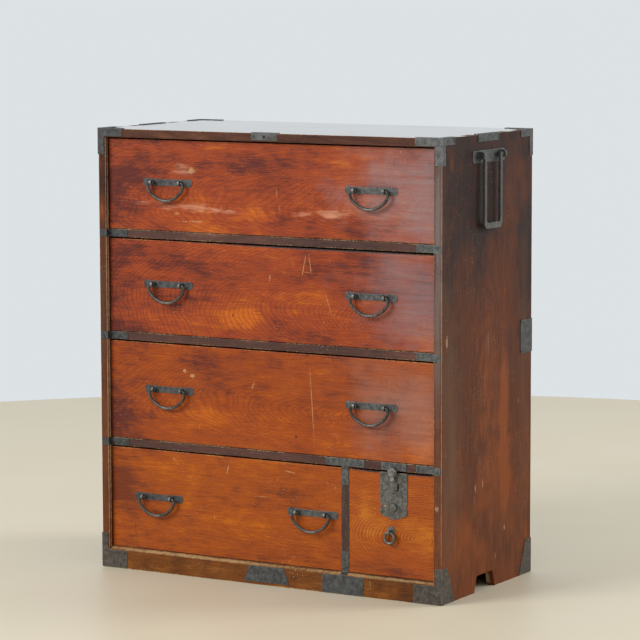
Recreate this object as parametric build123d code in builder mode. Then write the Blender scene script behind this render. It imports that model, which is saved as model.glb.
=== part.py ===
"""Isho clothing chest: a Japanese chest of five drawers in an iron-bound lacquered case.

Frame: +X to the right seen from the front, +Y towards the back, +Z up.
The origin is on the floor, in the middle of the case. All sizes are in millimetres.
"""

import os
from dataclasses import dataclass
from math import acos, degrees

from build123d import *

# ---------------------------------------------------------------- driving dimensions
# Case
case_width = 875.0
case_depth = 425.0
case_height = 1000.0
side_thickness = 19.0
top_thickness = 19.0
back_thickness = 9.0
bottom_thickness = 12.0
dust_thickness = 8.0
rail_thickness = 18.0
rail_depth = 40.0
divider_thickness = 18.0
lock_bay_width = 215.0
front_recess = 12.0
dado_depth = 5.0
arris_radius = 0.8

# Tiers of drawers, from the floor up; the top tier takes what is left
base_height = 48.0
bottom_opening = 233.0
lower_opening = 225.0
upper_opening = 214.0

# Base
base_rail_thickness = 22.0
base_ledge_drop = 6.0
foot_notch_length = 98.0
foot_notch_top_length = 75.0
foot_notch_height = 36.5
foot_notch_y = -11.0
foot_notch_radius = 6.0

# Finger joints between the sides and the top, and between drawer sides and back
case_finger_count = 5
drawer_finger_count = 3

# Back boards and their pegs
back_board_count = 3
back_board_gap = 0.5
peg_radius = 1.9
peg_clearance = 0.1
peg_length = 20.0
pegs_per_board = 2

# Drawers
drawer_front_thickness = 18.0
drawer_side_thickness = 12.0
drawer_back_thickness = 10.0
drawer_bottom_thickness = 8.0
drawer_side_gap = 0.8
drawer_running_gap = 0.3
drawer_front_lift = 1.2
drawer_top_gap = 3.6
drawer_rear_gap = 6.0
drawer_side_drop = 6.0
drawer_rabbet = 8.0
worn_edge_radius = 1.2

# Bail handles of the drawers
handle_inset = 158.5
wide_handle_inset_left = 127.5
wide_handle_inset_right = 73.5
handle_rise = 5.5
handle_plate_length = 130.0
handle_plate_end_height = 19.0
handle_plate_waist_height = 14.0
handle_plate_thickness = 1.5
post_spacing = 74.0
post_width = 5.0
post_radius = 6.0
post_neck_height = 8.5
post_stand_off = 10.0
bail_radius = 3.2
bail_width = 93.0
bail_drop = 40.0
bail_corner_radius = 6.5
bail_shoulder_radius = 22.0
bail_tip_reach = 4.0
eye_clearance = 0.3

# Iron fittings of the case
iron_thickness = 1.5
iron_floor_gap = 1.0
top_iron_length = 64.0
top_iron_side_length = 57.0
top_iron_height = 17.0
top_iron_drop = 58.0
top_iron_leg = 15.0
top_iron_lap = 11.0
bottom_iron_length = 67.0
bottom_iron_side_length = 56.0
bottom_iron_side_top = 25.0
bottom_iron_height = 41.0
bottom_iron_rise = 79.0
bottom_iron_leg = 15.0
edge_plate_length = 67.0
side_edge_plate_length = 96.0
edge_plate_height = 15.5
edge_plate_hole_radius = 2.0
base_plate_top_length = 90.0
base_plate_bottom_length = 116.0
base_plate_foot = 6.0
back_plate_width = 55.0
back_plate_height = 75.0
back_plate_z = 540.0
strap_length = 48.0
strap_margin = 0.8
stile_margin = 2.0
tee_length = 97.0
tee_stem = 40.0
divider_strap_width = 16.0
divider_strap_rise = 45.0
divider_base_length = 103.0
nail_radius = 2.4
nail_tip_radius = 1.3
nail_height = 1.2
nail_edge = 5.0

# Carrying handles on the sides
carry_plate_length = 150.0
carry_plate_height = 27.0
carry_plate_thickness = 2.0
carry_plate_radius = 6.0
carry_below_top = 45.0
carry_plate_rise = 2.5
carry_eye_spacing = 100.0
carry_eye_width = 7.0
carry_eye_radius = 8.0
carry_stand_off = 9.0
carry_tip_radius = 4.0
carry_tip_reach = 3.0
carry_bail_width = 84.0
carry_bar_width = 10.0
carry_bar_thickness = 6.0
carry_grip_height = 13.0
carry_drop = 159.0
carry_outer_radius = 14.0
carry_inner_radius = 6.0

# Lock of the small drawer
lock_from_divider = 112.0
lock_plate_width = 67.0
lock_plate_height = 105.0
lock_plate_straight = 66.0
lock_plate_thickness = 2.0
lock_waist_inset = 3.5
lock_waist_depth = 74.0
lock_lobe_depth = 87.0
lock_lobe_end = 97.0
lock_lobe_half_width = 17.0
catch_plate_width = 62.0
bolt_width = 12.0
bolt_thickness = 4.0
bolt_length = 48.0
bolt_travel = 10.0
bolt_clearance = 0.3
bolt_pocket_depth = 7.0
knob_width = 22.0
knob_thickness = 9.0
knob_chamfer = 3.0
octagon_turn = 22.5
knob_above_edge = 1.2
neck_radius = 5.0
neck_depth = 12.5
knob_gap = 2.5
key_slot_x = 12.0
key_slot_depth = 22.5
key_slot_height = 18.0
key_slot_width = 3.0
key_slot_hook = 8.0
button_depth = 75.5
button_radius = 8.2
button_flange_radius = 10.0
button_flange_thickness = 1.5
button_stand_out = 4.0
button_travel = 3.0
button_clearance = 0.3
button_round = 1.2

# Ring pull of the small drawer
ring_left_of_lock = 6.5
ring_pivot_depth = 129.8
ring_radius = 12.8
ring_rod_radius = 2.7
ring_stand_off = 7.5
staple_width = 4.0
staple_radius = 6.0
staple_neck_height = 8.0
staple_plate_radius = 9.5
staple_plate_rise = 2.5
staple_plate_thickness = 1.5
staple_clearance = 0.5

# ---------------------------------------------------------------- derived places
half_width = case_width / 2
inner_x = half_width - side_thickness
front_y = -case_depth / 2
back_y = case_depth / 2
face_y = front_y + front_recess
rail_back_y = face_y + rail_depth
back_inner_y = back_y - back_thickness
top_z = case_height - top_thickness
lower_rail_z = base_height + bottom_opening
lower_floor = lower_rail_z + rail_thickness
middle_rail_z = lower_floor + lower_opening
upper_floor = middle_rail_z + rail_thickness
upper_rail_z = upper_floor + upper_opening
top_floor = upper_rail_z + rail_thickness
rail_heights = [lower_rail_z, middle_rail_z, upper_rail_z]
divider_right = inner_x - lock_bay_width
divider_left = divider_right - divider_thickness
divider_x = (divider_left + divider_right) / 2
base_rail_back_y = front_y + base_rail_thickness
ledge_front_z = base_height - base_ledge_drop
underside_z = base_height - bottom_thickness
pivot_y = face_y - handle_plate_thickness - post_stand_off
carry_x = half_width + carry_plate_thickness + carry_stand_off
carry_z = case_height - carry_below_top
lock_x = divider_right + lock_from_divider
ring_x = lock_x - ring_left_of_lock
board_height = top_z / back_board_count


@dataclass(frozen=True)
class Bay:
    """One drawer's place in the case: its opening and where its handles hang."""

    name: str
    left: float
    right: float
    floor: float
    ceiling: float
    handles: tuple = ()

    @property
    def front_left(self):
        return self.left + drawer_side_gap

    @property
    def front_right(self):
        return self.right - drawer_side_gap

    @property
    def front_bottom(self):
        return self.floor + drawer_front_lift

    @property
    def front_top(self):
        return self.ceiling - drawer_top_gap

    @property
    def side_top(self):
        return self.front_top - drawer_side_drop

    @property
    def run_z(self):
        return self.floor + drawer_running_gap

    @property
    def handle_z(self):
        return (self.floor + self.ceiling) / 2 + handle_rise


full_handles = (-inner_x + handle_inset, inner_x - handle_inset)
wide_handles = (-inner_x + wide_handle_inset_left, divider_left - wide_handle_inset_right)
bays = [
    Bay("top_drawer", -inner_x, inner_x, top_floor, top_z, full_handles),
    Bay("upper_drawer", -inner_x, inner_x, upper_floor, upper_rail_z, full_handles),
    Bay("lower_drawer", -inner_x, inner_x, lower_floor, middle_rail_z, full_handles),
    Bay("wide_drawer", -inner_x, divider_left, base_height, lower_rail_z, wide_handles),
    Bay("lock_drawer", divider_right, inner_x, base_height, lower_rail_z),
]
lock_bay = bays[-1]
lock_top = lock_bay.front_top
box_back_y = back_inner_y - drawer_rear_gap
lock_face_y = face_y - lock_plate_thickness
neck_z = lock_top - neck_depth
knob_z = lock_top + knob_above_edge
knob_back_y = lock_face_y - knob_gap
bolt_top = lock_top - bolt_clearance
button_z = lock_top - button_depth
ring_pivot_y = face_y - staple_plate_thickness - ring_stand_off
ring_pivot_z = lock_top - ring_pivot_depth

ALIGN_LOW = (Align.MIN, Align.MIN, Align.MIN)
ALIGN_UPRIGHT = (Align.CENTER, Align.CENTER, Align.MIN)


# ---------------------------------------------------------------- helpers
def front_plane(y):
    """The upright plane at y: its own x is X, its own y is Z, and it faces the front."""
    return Plane.XZ.offset(-y)


def board(x, y, z, mode=Mode.ADD):
    """Add, or cut, a rectangular board between two limits along each axis."""
    with Locations((x[0], y[0], z[0])):
        Box(x[1] - x[0], y[1] - y[0], z[1] - z[0], align=ALIGN_LOW, mode=mode)


def finger_bands(count, low, high):
    """The spans of a joint's fingers between two limits: every second band of equal width."""
    width = (high - low) / (2 * count + 1)
    return [(low + width * (2 * i + 1), low + width * (2 * i + 2)) for i in range(count)]


def save(part, label):
    """Label a finished piece and write it as its own STEP file."""
    part.label = label
    export_step(part, f"parts/{label}.step")


def board_spans():
    """The lower and upper edge of each back board."""
    spans = []
    for i in range(back_board_count):
        spans.append((i * board_height + back_board_gap, (i + 1) * board_height))
    return spans


def peg_places():
    """Where the pegs of the back boards stand, as (x, z) at the right side of the case."""
    places = []
    for low, high in board_spans():
        for i in range(pegs_per_board):
            z = low + (high - low) * (i + 0.5) / pegs_per_board
            places.append((inner_x + dado_depth / 2, z))
    return places


# ---------------------------------------------------------------- case
def make_side_panel():
    """The right side: dadoes inside, foot notch below, finger tenons above."""
    with BuildPart() as panel:
        board((inner_x, half_width), (front_y, back_y), (0, top_z))
        front_edges = panel.edges().filter_by(Axis.Z).group_by(Axis.Y)[0]
        fillet(front_edges, arris_radius)
        for low, high in finger_bands(case_finger_count, front_y, back_y):
            board((inner_x, half_width), (low, high), (top_z, case_height))
        dado = (inner_x, inner_x + dado_depth)
        for z in rail_heights:
            board(dado, (face_y, rail_back_y), (z, z + rail_thickness), Mode.SUBTRACT)
            floor = z + rail_thickness
            board(dado, (rail_back_y, back_inner_y), (floor - dust_thickness, floor), Mode.SUBTRACT)
        board(dado, (base_rail_back_y, back_inner_y), (underside_z, base_height), Mode.SUBTRACT)
        board(dado, (back_inner_y, back_y), (0, top_z), Mode.SUBTRACT)
        with BuildSketch(Plane.YZ.offset(inner_x)) as notch:
            with BuildLine():
                Polyline(
                    (foot_notch_y - foot_notch_length / 2, 0),
                    (foot_notch_y - foot_notch_top_length / 2, foot_notch_height),
                    (foot_notch_y + foot_notch_top_length / 2, foot_notch_height),
                    (foot_notch_y + foot_notch_length / 2, 0),
                    close=True,
                )
            make_face()
            fillet(notch.vertices().group_by(Axis.Y)[-1], foot_notch_radius)
        extrude(amount=side_thickness, mode=Mode.SUBTRACT)
        with BuildSketch(front_plane(back_y)):
            with Locations(*peg_places()):
                Circle(peg_radius + peg_clearance)
        extrude(amount=peg_length + peg_clearance, mode=Mode.SUBTRACT)
    return panel.part


def make_case():
    """Both sides, the top, the bottom, the base rails, the back and what carries the drawers."""
    right = make_side_panel()
    with BuildPart() as left_side_panel:
        mirror(right, about=Plane.YZ)
    save(right, "right_side_panel")
    save(left_side_panel.part, "left_side_panel")

    with BuildPart() as top_panel:
        board((-half_width, half_width), (front_y, back_y), (top_z, case_height))
        for low, high in finger_bands(case_finger_count, front_y, back_y):
            board((inner_x, half_width), (low, high), (top_z, case_height), Mode.SUBTRACT)
            board((-half_width, -inner_x), (low, high), (top_z, case_height), Mode.SUBTRACT)
        long_edges = top_panel.edges().filter_by(Axis.X).filter_by(lambda e: e.length > inner_x)
        fillet(long_edges.group_by(Axis.Y)[0], arris_radius)
    save(top_panel.part, "top_panel")

    reach = inner_x + dado_depth
    with BuildPart() as bottom_board:
        board((-reach, reach), (base_rail_back_y, back_inner_y), (underside_z, base_height))
    save(bottom_board.part, "bottom_board")

    with BuildPart() as base_front_rail:
        with BuildSketch(Plane.YZ.offset(-inner_x)):
            with BuildLine():
                Polyline(
                    (front_y, 0),
                    (front_y, ledge_front_z),
                    (face_y, base_height),
                    (base_rail_back_y, base_height),
                    (base_rail_back_y, 0),
                    close=True,
                )
            make_face()
        extrude(amount=2 * inner_x)
        ledge_edge = base_front_rail.edges().filter_by(Axis.X).group_by(Axis.Y)[0].sort_by(Axis.Z)[-1]
        fillet(ledge_edge, worn_edge_radius)
    save(base_front_rail.part, "base_front_rail")

    with BuildPart() as base_back_rail:
        board((-inner_x, inner_x), (back_inner_y - rail_thickness, back_inner_y), (0, underside_z))
    save(base_back_rail.part, "base_back_rail")

    with BuildPart() as drawer_rails:
        for z in rail_heights:
            board((-reach, reach), (face_y, rail_back_y), (z, z + rail_thickness))
        front_edges = drawer_rails.edges().filter_by(Axis.X).group_by(Axis.Y)[0]
        fillet(front_edges, arris_radius)
        mortise = bolt_width / 2 + 2 * bolt_clearance
        pocket_back = face_y + bolt_pocket_depth + bolt_clearance
        board(
            (lock_x - mortise, lock_x + mortise),
            (face_y + bolt_pocket_depth - bolt_thickness - 2 * bolt_clearance, pocket_back),
            (lower_rail_z, lower_rail_z + bolt_travel),
            Mode.SUBTRACT,
        )
    save(drawer_rails.part, "drawer_rails")

    with BuildPart() as dust_boards:
        for z in rail_heights:
            floor = z + rail_thickness
            board((-reach, reach), (rail_back_y, back_inner_y), (floor - dust_thickness, floor))
    save(dust_boards.part, "dust_boards")

    with BuildPart() as divider:
        dust_underside = lower_floor - dust_thickness
        board((divider_left, divider_right), (face_y, rail_back_y), (base_height, lower_rail_z))
        board((divider_left, divider_right), (rail_back_y, back_inner_y), (base_height, dust_underside))
    save(divider.part, "divider")

    with BuildPart() as back_boards:
        for low, high in board_spans():
            board((-reach, reach), (back_inner_y, back_y), (low, high))
        with BuildSketch(front_plane(back_y)):
            with Locations(*peg_places()):
                Circle(peg_radius + peg_clearance)
            mirror(about=Plane.YZ)
        extrude(amount=back_thickness, mode=Mode.SUBTRACT)
    save(back_boards.part, "back_boards")

    with BuildPart() as case_pegs:
        with BuildSketch(front_plane(back_y)):
            with Locations(*peg_places()):
                Circle(peg_radius)
        extrude(amount=peg_length)
        mirror(about=Plane.YZ)
    save(case_pegs.part, "case_pegs")


# ---------------------------------------------------------------- iron on the case
def make_corner_irons():
    """Three-way bent plates over the eight corners of the case."""
    outer = half_width + iron_thickness
    with BuildPart() as top_corner_irons:
        with BuildSketch(front_plane(front_y)):
            with BuildLine():
                Polyline(
                    (outer, case_height + iron_thickness),
                    (half_width - top_iron_length, case_height + iron_thickness),
                    (half_width - top_iron_length, case_height - top_iron_height),
                    (half_width - top_iron_leg, case_height - top_iron_height),
                    (half_width - top_iron_leg, case_height - top_iron_drop),
                    (outer, case_height - top_iron_drop),
                    close=True,
                )
            make_face()
        extrude(amount=iron_thickness)
        with BuildSketch(Plane.YZ.offset(half_width)):
            with BuildLine():
                Polyline(
                    (front_y, case_height + iron_thickness),
                    (front_y + top_iron_side_length, case_height + iron_thickness),
                    (front_y + top_iron_side_length, case_height - edge_plate_height),
                    (front_y + top_iron_leg, case_height - edge_plate_height),
                    (front_y + top_iron_leg, case_height - top_iron_drop),
                    (front_y, case_height - top_iron_drop),
                    close=True,
                )
            make_face()
        extrude(amount=iron_thickness)
        with BuildSketch(Plane.XY.offset(case_height)):
            with BuildLine():
                Polyline(
                    (half_width, front_y),
                    (half_width, front_y + top_iron_side_length),
                    (half_width - top_iron_lap, front_y + top_iron_side_length),
                    (half_width - top_iron_lap, front_y + top_iron_lap),
                    (half_width - top_iron_length, front_y + top_iron_lap),
                    (half_width - top_iron_length, front_y),
                    close=True,
                )
            make_face()
        extrude(amount=iron_thickness)
        mirror(about=Plane.YZ)
        mirror(about=Plane.XZ)
    save(top_corner_irons.part, "top_corner_irons")

    with BuildPart() as bottom_corner_irons:
        with BuildSketch(front_plane(front_y)):
            with BuildLine():
                Polyline(
                    (outer, iron_floor_gap),
                    (half_width - bottom_iron_length, iron_floor_gap),
                    (half_width - bottom_iron_length, bottom_iron_height),
                    (half_width - bottom_iron_leg, bottom_iron_height),
                    (half_width - bottom_iron_leg, bottom_iron_rise),
                    (outer, bottom_iron_rise),
                    close=True,
                )
            make_face()
        extrude(amount=iron_thickness)
        with BuildSketch(Plane.YZ.offset(half_width)):
            with BuildLine():
                Polyline(
                    (front_y, iron_floor_gap),
                    (front_y + bottom_iron_side_length, iron_floor_gap),
                    (front_y + bottom_iron_side_top, bottom_iron_rise),
                    (front_y, bottom_iron_rise),
                    close=True,
                )
            make_face()
        extrude(amount=iron_thickness)
        mirror(about=Plane.YZ)
        mirror(about=Plane.XZ)
    save(bottom_corner_irons.part, "bottom_corner_irons")


def make_edge_plates():
    """Plates lapping over the top edges, on the base rail and round the back corners."""
    lap_z = (case_height, case_height + iron_thickness)
    skirt_z = (case_height - edge_plate_height, case_height + iron_thickness)
    half_front = edge_plate_length / 2
    half_side = side_edge_plate_length / 2
    with BuildPart() as edge_plates:
        board((half_width, half_width + iron_thickness), (-half_side, half_side), skirt_z)
        board((half_width - top_iron_lap, half_width), (-half_side, half_side), lap_z)
        plate_low = back_plate_z - back_plate_height / 2
        plate_z = (plate_low, plate_low + back_plate_height)
        wing = (back_y - back_plate_width, back_y + iron_thickness)
        board((half_width, half_width + iron_thickness), wing, plate_z)
        board((half_width - back_plate_width, half_width), (back_y, back_y + iron_thickness), plate_z)
        mirror(about=Plane.YZ)
        board((-half_front, half_front), (front_y, front_y + top_iron_lap), lap_z)
        board((-half_front, half_front), (front_y - iron_thickness, front_y), skirt_z)
        with BuildSketch(front_plane(front_y)):
            with Locations((0, case_height - edge_plate_height / 2)):
                Circle(edge_plate_hole_radius)
        extrude(amount=iron_thickness, mode=Mode.SUBTRACT)
        with BuildSketch(front_plane(front_y)):
            with BuildLine():
                Polyline(
                    (-base_plate_bottom_length / 2, base_plate_foot),
                    (-base_plate_top_length / 2, ledge_front_z),
                    (base_plate_top_length / 2, ledge_front_z),
                    (base_plate_bottom_length / 2, base_plate_foot),
                    close=True,
                )
            make_face()
        extrude(amount=iron_thickness)
    save(edge_plates.part, "edge_plates")


def make_straps():
    """The bent straps at the rails' ends and the irons at the head and foot of the divider."""
    outer = half_width - stile_margin
    with BuildPart() as rail_straps:
        for z in rail_heights:
            with BuildSketch(Plane.XY.offset(z + strap_margin)):
                with BuildLine():
                    Polyline(
                        (inner_x - strap_length, face_y),
                        (inner_x, face_y),
                        (inner_x, front_y),
                        (outer, front_y),
                        (outer, front_y - iron_thickness),
                        (inner_x - iron_thickness, front_y - iron_thickness),
                        (inner_x - iron_thickness, face_y - iron_thickness),
                        (inner_x - strap_length, face_y - iron_thickness),
                        close=True,
                    )
                make_face()
            extrude(amount=rail_thickness - 2 * strap_margin)
        mirror(about=Plane.YZ)
    save(rail_straps.part, "rail_straps")

    half_strap = divider_strap_width / 2
    half_base = divider_base_length / 2
    ledge_lift = iron_thickness
    with BuildPart() as divider_irons:
        with BuildSketch(front_plane(face_y)):
            with BuildLine():
                Polyline(
                    (divider_x - tee_length / 2, lower_floor - strap_margin),
                    (divider_x + tee_length / 2, lower_floor - strap_margin),
                    (divider_x + tee_length / 2, lower_rail_z + strap_margin),
                    (divider_x + half_strap, lower_rail_z + strap_margin),
                    (divider_x + half_strap, lower_rail_z - tee_stem),
                    (divider_x - half_strap, lower_rail_z - tee_stem),
                    (divider_x - half_strap, lower_rail_z + strap_margin),
                    (divider_x - tee_length / 2, lower_rail_z + strap_margin),
                    close=True,
                )
            make_face()
        extrude(amount=iron_thickness)
        with BuildSketch(Plane.YZ.offset(divider_x - half_strap)):
            with BuildLine():
                Polyline(
                    (face_y, base_height + divider_strap_rise),
                    (face_y, base_height),
                    (front_y, ledge_front_z),
                    (front_y - iron_thickness, ledge_front_z),
                    (front_y - iron_thickness, ledge_front_z + ledge_lift),
                    (face_y - iron_thickness, base_height + ledge_lift),
                    (face_y - iron_thickness, base_height + divider_strap_rise),
                    close=True,
                )
            make_face()
        extrude(amount=divider_strap_width)
        plate_y = (front_y - iron_thickness, front_y)
        plate_z = (iron_floor_gap, ledge_front_z)
        board((divider_x - half_base, divider_x + half_base), plate_y, plate_z)
    save(divider_irons.part, "divider_irons")

    half_catch = catch_plate_width / 2
    with BuildPart() as lock_catch_plate:
        catch_y = (face_y - iron_thickness, face_y)
        catch_z = (lower_rail_z + strap_margin, lower_floor - strap_margin)
        board((lock_x - half_catch, lock_x + half_catch), catch_y, catch_z)
    save(lock_catch_plate.part, "lock_catch_plate")


def front_nail_spots():
    """Nails on the plane of the irons on the front of the case, right half, as (x, z)."""
    top_row = case_height - top_iron_height / 2
    spots = [
        (half_width - top_iron_length + nail_edge, top_row),
        (half_width - nail_edge, case_height - top_iron_drop + nail_edge),
        (half_width - bottom_iron_length + nail_edge, nail_edge + iron_floor_gap),
        (half_width - bottom_iron_length + nail_edge, bottom_iron_height - nail_edge),
        (half_width - bottom_iron_leg / 2, bottom_iron_rise - nail_edge),
        (edge_plate_length / 2 - nail_edge, case_height - edge_plate_height / 2),
        (base_plate_top_length / 2 - nail_edge, ledge_front_z - nail_edge),
        (base_plate_top_length / 2, base_plate_foot + nail_edge),
    ]
    for z in rail_heights:
        spots.append((inner_x + side_thickness / 2, z + rail_thickness / 2))
    return spots


def face_nail_spots():
    """Nails on the irons of the recessed face, as (x, z)."""
    spots = []
    for z in rail_heights:
        x = inner_x - strap_length + nail_edge
        spots.append((x, z + rail_thickness / 2))
        spots.append((-x, z + rail_thickness / 2))
    for side in (-1, 1):
        x = divider_x + side * (tee_length / 2 - nail_edge)
        spots.append((x, lower_rail_z + rail_thickness / 2))
        catch_x = lock_x + side * (catch_plate_width / 2 - nail_edge)
        spots.append((catch_x, lower_rail_z + rail_thickness / 2))
    spots.append((divider_x, lower_rail_z - tee_stem + nail_edge))
    spots.append((divider_x, base_height + divider_strap_rise - nail_edge))
    return spots


def divider_foot_nail_spots():
    """Nails on the plate at the divider's foot, as (x, z)."""
    spots = []
    for side in (-1, 1):
        for z in (iron_floor_gap + nail_edge, ledge_front_z - nail_edge):
            spots.append((divider_x + side * (divider_base_length / 2 - nail_edge), z))
    return spots


def side_nail_spots():
    """Nails on the irons of the right side of the case, as (y, z)."""
    skirt = case_height - edge_plate_height / 2
    leg_end = case_height - top_iron_drop + nail_edge
    spots = [
        (side_edge_plate_length / 2 - nail_edge, skirt),
        (nail_edge - side_edge_plate_length / 2, skirt),
    ]
    for side in (-1, 1):
        spots.append((side * (back_y - top_iron_side_length + nail_edge), skirt))
        spots.append((side * (back_y - top_iron_leg / 2), leg_end))
        spots.append((side * (back_y - bottom_iron_side_length + 2 * nail_edge), 2 * nail_edge))
        spots.append((side * (back_y - bottom_iron_side_top + nail_edge), bottom_iron_rise - nail_edge))
    for z in (-1, 1):
        nail_z = back_plate_z + z * (back_plate_height / 2 - nail_edge)
        spots.append((back_y - back_plate_width + nail_edge, nail_z))
    return spots


def nail_heads(plane, spots):
    """Forged nail heads standing on a plane at the given places."""
    with Locations(plane):
        with Locations(*spots):
            Cone(nail_radius, nail_tip_radius, nail_height, align=ALIGN_UPRIGHT)


def make_nails():
    """All the nail heads of the case irons, as one group of separate solids."""
    with BuildPart() as iron_nails:
        nail_heads(front_plane(front_y - iron_thickness), front_nail_spots())
        nail_heads(Plane.YZ.offset(half_width + iron_thickness), side_nail_spots())
        mirror(about=Plane.YZ)
        nail_heads(front_plane(front_y - iron_thickness), divider_foot_nail_spots())
        nail_heads(front_plane(face_y - iron_thickness), face_nail_spots())
    save(iron_nails.part, "iron_nails")


# ---------------------------------------------------------------- carrying handles
def make_carrying_handles():
    """On each side a plate with two eyes, and the flat-bar bail that turns in them."""
    plate_z = carry_z - carry_plate_rise
    with BuildPart() as side_handle_plates:
        with BuildSketch(Plane.YZ.offset(half_width)):
            with Locations((0, plate_z)):
                RectangleRounded(carry_plate_length, carry_plate_height, carry_plate_radius)
        extrude(amount=carry_plate_thickness)
        mirror(about=Plane.YZ)
    save(side_handle_plates.part, "side_handle_plates")

    with BuildPart() as side_handle_eyes:
        for side in (-1, 1):
            start = side * carry_eye_spacing / 2 + carry_eye_width / 2
            with BuildSketch(front_plane(start)):
                with Locations((carry_x, carry_z)):
                    Circle(carry_eye_radius)
                with Locations((carry_x - carry_stand_off / 2, carry_z)):
                    Rectangle(carry_stand_off, 2 * carry_eye_radius)
                with Locations((carry_x, carry_z)):
                    Circle(carry_tip_radius + eye_clearance, mode=Mode.SUBTRACT)
            extrude(amount=carry_eye_width)
        mirror(about=Plane.YZ)
    save(side_handle_eyes.part, "side_handle_eyes")

    bottom = carry_z - carry_drop
    top = carry_z + carry_bar_width / 2
    half_bail = carry_bail_width / 2
    inside_half = half_bail - carry_bar_width
    inside_bottom = bottom + carry_grip_height
    tip_end = carry_eye_spacing / 2 + carry_eye_width / 2 + carry_tip_reach
    with BuildPart() as right_carry_handle:
        with BuildSketch(Plane.YZ.offset(carry_x - carry_bar_thickness / 2)) as bail:
            with Locations((0, bottom)):
                Rectangle(carry_bail_width, top - bottom, align=(Align.CENTER, Align.MIN))
            fillet(bail.vertices().group_by(Axis.Y)[0], carry_outer_radius)
            with Locations((0, inside_bottom)):
                Rectangle(
                    2 * inside_half, top - inside_bottom, align=(Align.CENTER, Align.MIN), mode=Mode.SUBTRACT
                )
            inner = bail.vertices().filter_by(lambda v: abs(v.Y - inside_bottom) < eye_clearance)
            fillet(inner, carry_inner_radius)
        extrude(amount=carry_bar_thickness)
        with BuildSketch(front_plane(half_bail)):
            with Locations((carry_x, carry_z)):
                Circle(carry_tip_radius)
        extrude(amount=half_bail - tip_end)
        with BuildSketch(front_plane(-half_bail)):
            with Locations((carry_x, carry_z)):
                Circle(carry_tip_radius)
        extrude(amount=tip_end - half_bail)
    with BuildPart() as left_carry_handle:
        mirror(right_carry_handle.part, about=Plane.YZ)
    save(right_carry_handle.part, "right_carry_handle")
    save(left_carry_handle.part, "left_carry_handle")


# ---------------------------------------------------------------- drawers
def make_drawer_box(bay):
    """A drawer's front, its sides and back, and its bottom."""
    left = bay.front_left
    right = bay.front_right
    front_back_y = face_y + drawer_front_thickness
    rabbet_y = front_back_y - drawer_rabbet
    box_z = (bay.run_z + drawer_bottom_thickness, bay.side_top)
    left_side_x = (left, left + drawer_side_thickness)
    right_side_x = (right - drawer_side_thickness, right)
    with BuildPart() as front:
        board((left, right), (face_y, front_back_y), (bay.front_bottom, bay.front_top))
        worn = front.edges().group_by(Axis.Y)[0]
        fillet(worn, worn_edge_radius)
        board(left_side_x, (rabbet_y, front_back_y), box_z, Mode.SUBTRACT)
        board(right_side_x, (rabbet_y, front_back_y), box_z, Mode.SUBTRACT)
        board((left, right), (rabbet_y, front_back_y), (bay.front_bottom, box_z[0]), Mode.SUBTRACT)
        if bay is lock_bay:
            cut_lock_pockets()
    save(front.part, f"{bay.name}_front")

    back_y_span = (box_back_y - drawer_back_thickness, box_back_y)
    with BuildPart() as box:
        board(left_side_x, (rabbet_y, box_back_y), box_z)
        board(right_side_x, (rabbet_y, box_back_y), box_z)
        for low, high in finger_bands(drawer_finger_count, *box_z):
            board(left_side_x, back_y_span, (low, high), Mode.SUBTRACT)
            board(right_side_x, back_y_span, (low, high), Mode.SUBTRACT)
    with BuildPart() as back:
        board((left_side_x[1], right_side_x[0]), back_y_span, box_z)
        for low, high in finger_bands(drawer_finger_count, *box_z):
            board(left_side_x, back_y_span, (low, high))
            board(right_side_x, back_y_span, (low, high))
    save(Compound(children=[*box.solids(), *back.solids()]), f"{bay.name}_box")

    with BuildPart() as bottom:
        board((left, right), (rabbet_y, box_back_y), (bay.run_z, box_z[0]))
    save(bottom.part, f"{bay.name}_bottom")


def make_handle_mounts(bay):
    """The iron plates on a drawer's front and the eyes that stand on them."""
    end = handle_plate_length / 2
    high = handle_plate_end_height / 2
    waist = handle_plate_waist_height / 2
    with BuildPart() as plates:
        for x in bay.handles:
            with BuildSketch(Plane((x, face_y, bay.handle_z), x_dir=(1, 0, 0), z_dir=(0, -1, 0))):
                with BuildLine():
                    upper = ThreePointArc((-end, high), (0, waist), (end, high))
                    right_end = Line(upper @ 1, (end, -high))
                    lower = ThreePointArc(right_end @ 1, (0, -waist), (-end, -high))
                    Line(lower @ 1, upper @ 0)
                make_face()
            extrude(amount=handle_plate_thickness)
    save(plates.part, f"{bay.name}_handle_plates")

    with BuildPart() as posts:
        for x in bay.handles:
            for side in (-1, 1):
                outer_face = x + side * post_spacing / 2 - post_width / 2
                with BuildSketch(Plane.YZ.offset(outer_face)):
                    with Locations((pivot_y, bay.handle_z)):
                        Circle(post_radius)
                    with Locations((pivot_y + post_stand_off / 2, bay.handle_z)):
                        Rectangle(post_stand_off, post_neck_height)
                    with Locations((pivot_y, bay.handle_z)):
                        Circle(bail_radius + eye_clearance, mode=Mode.SUBTRACT)
                extrude(amount=post_width)
    save(posts.part, f"{bay.name}_handle_posts")


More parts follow.
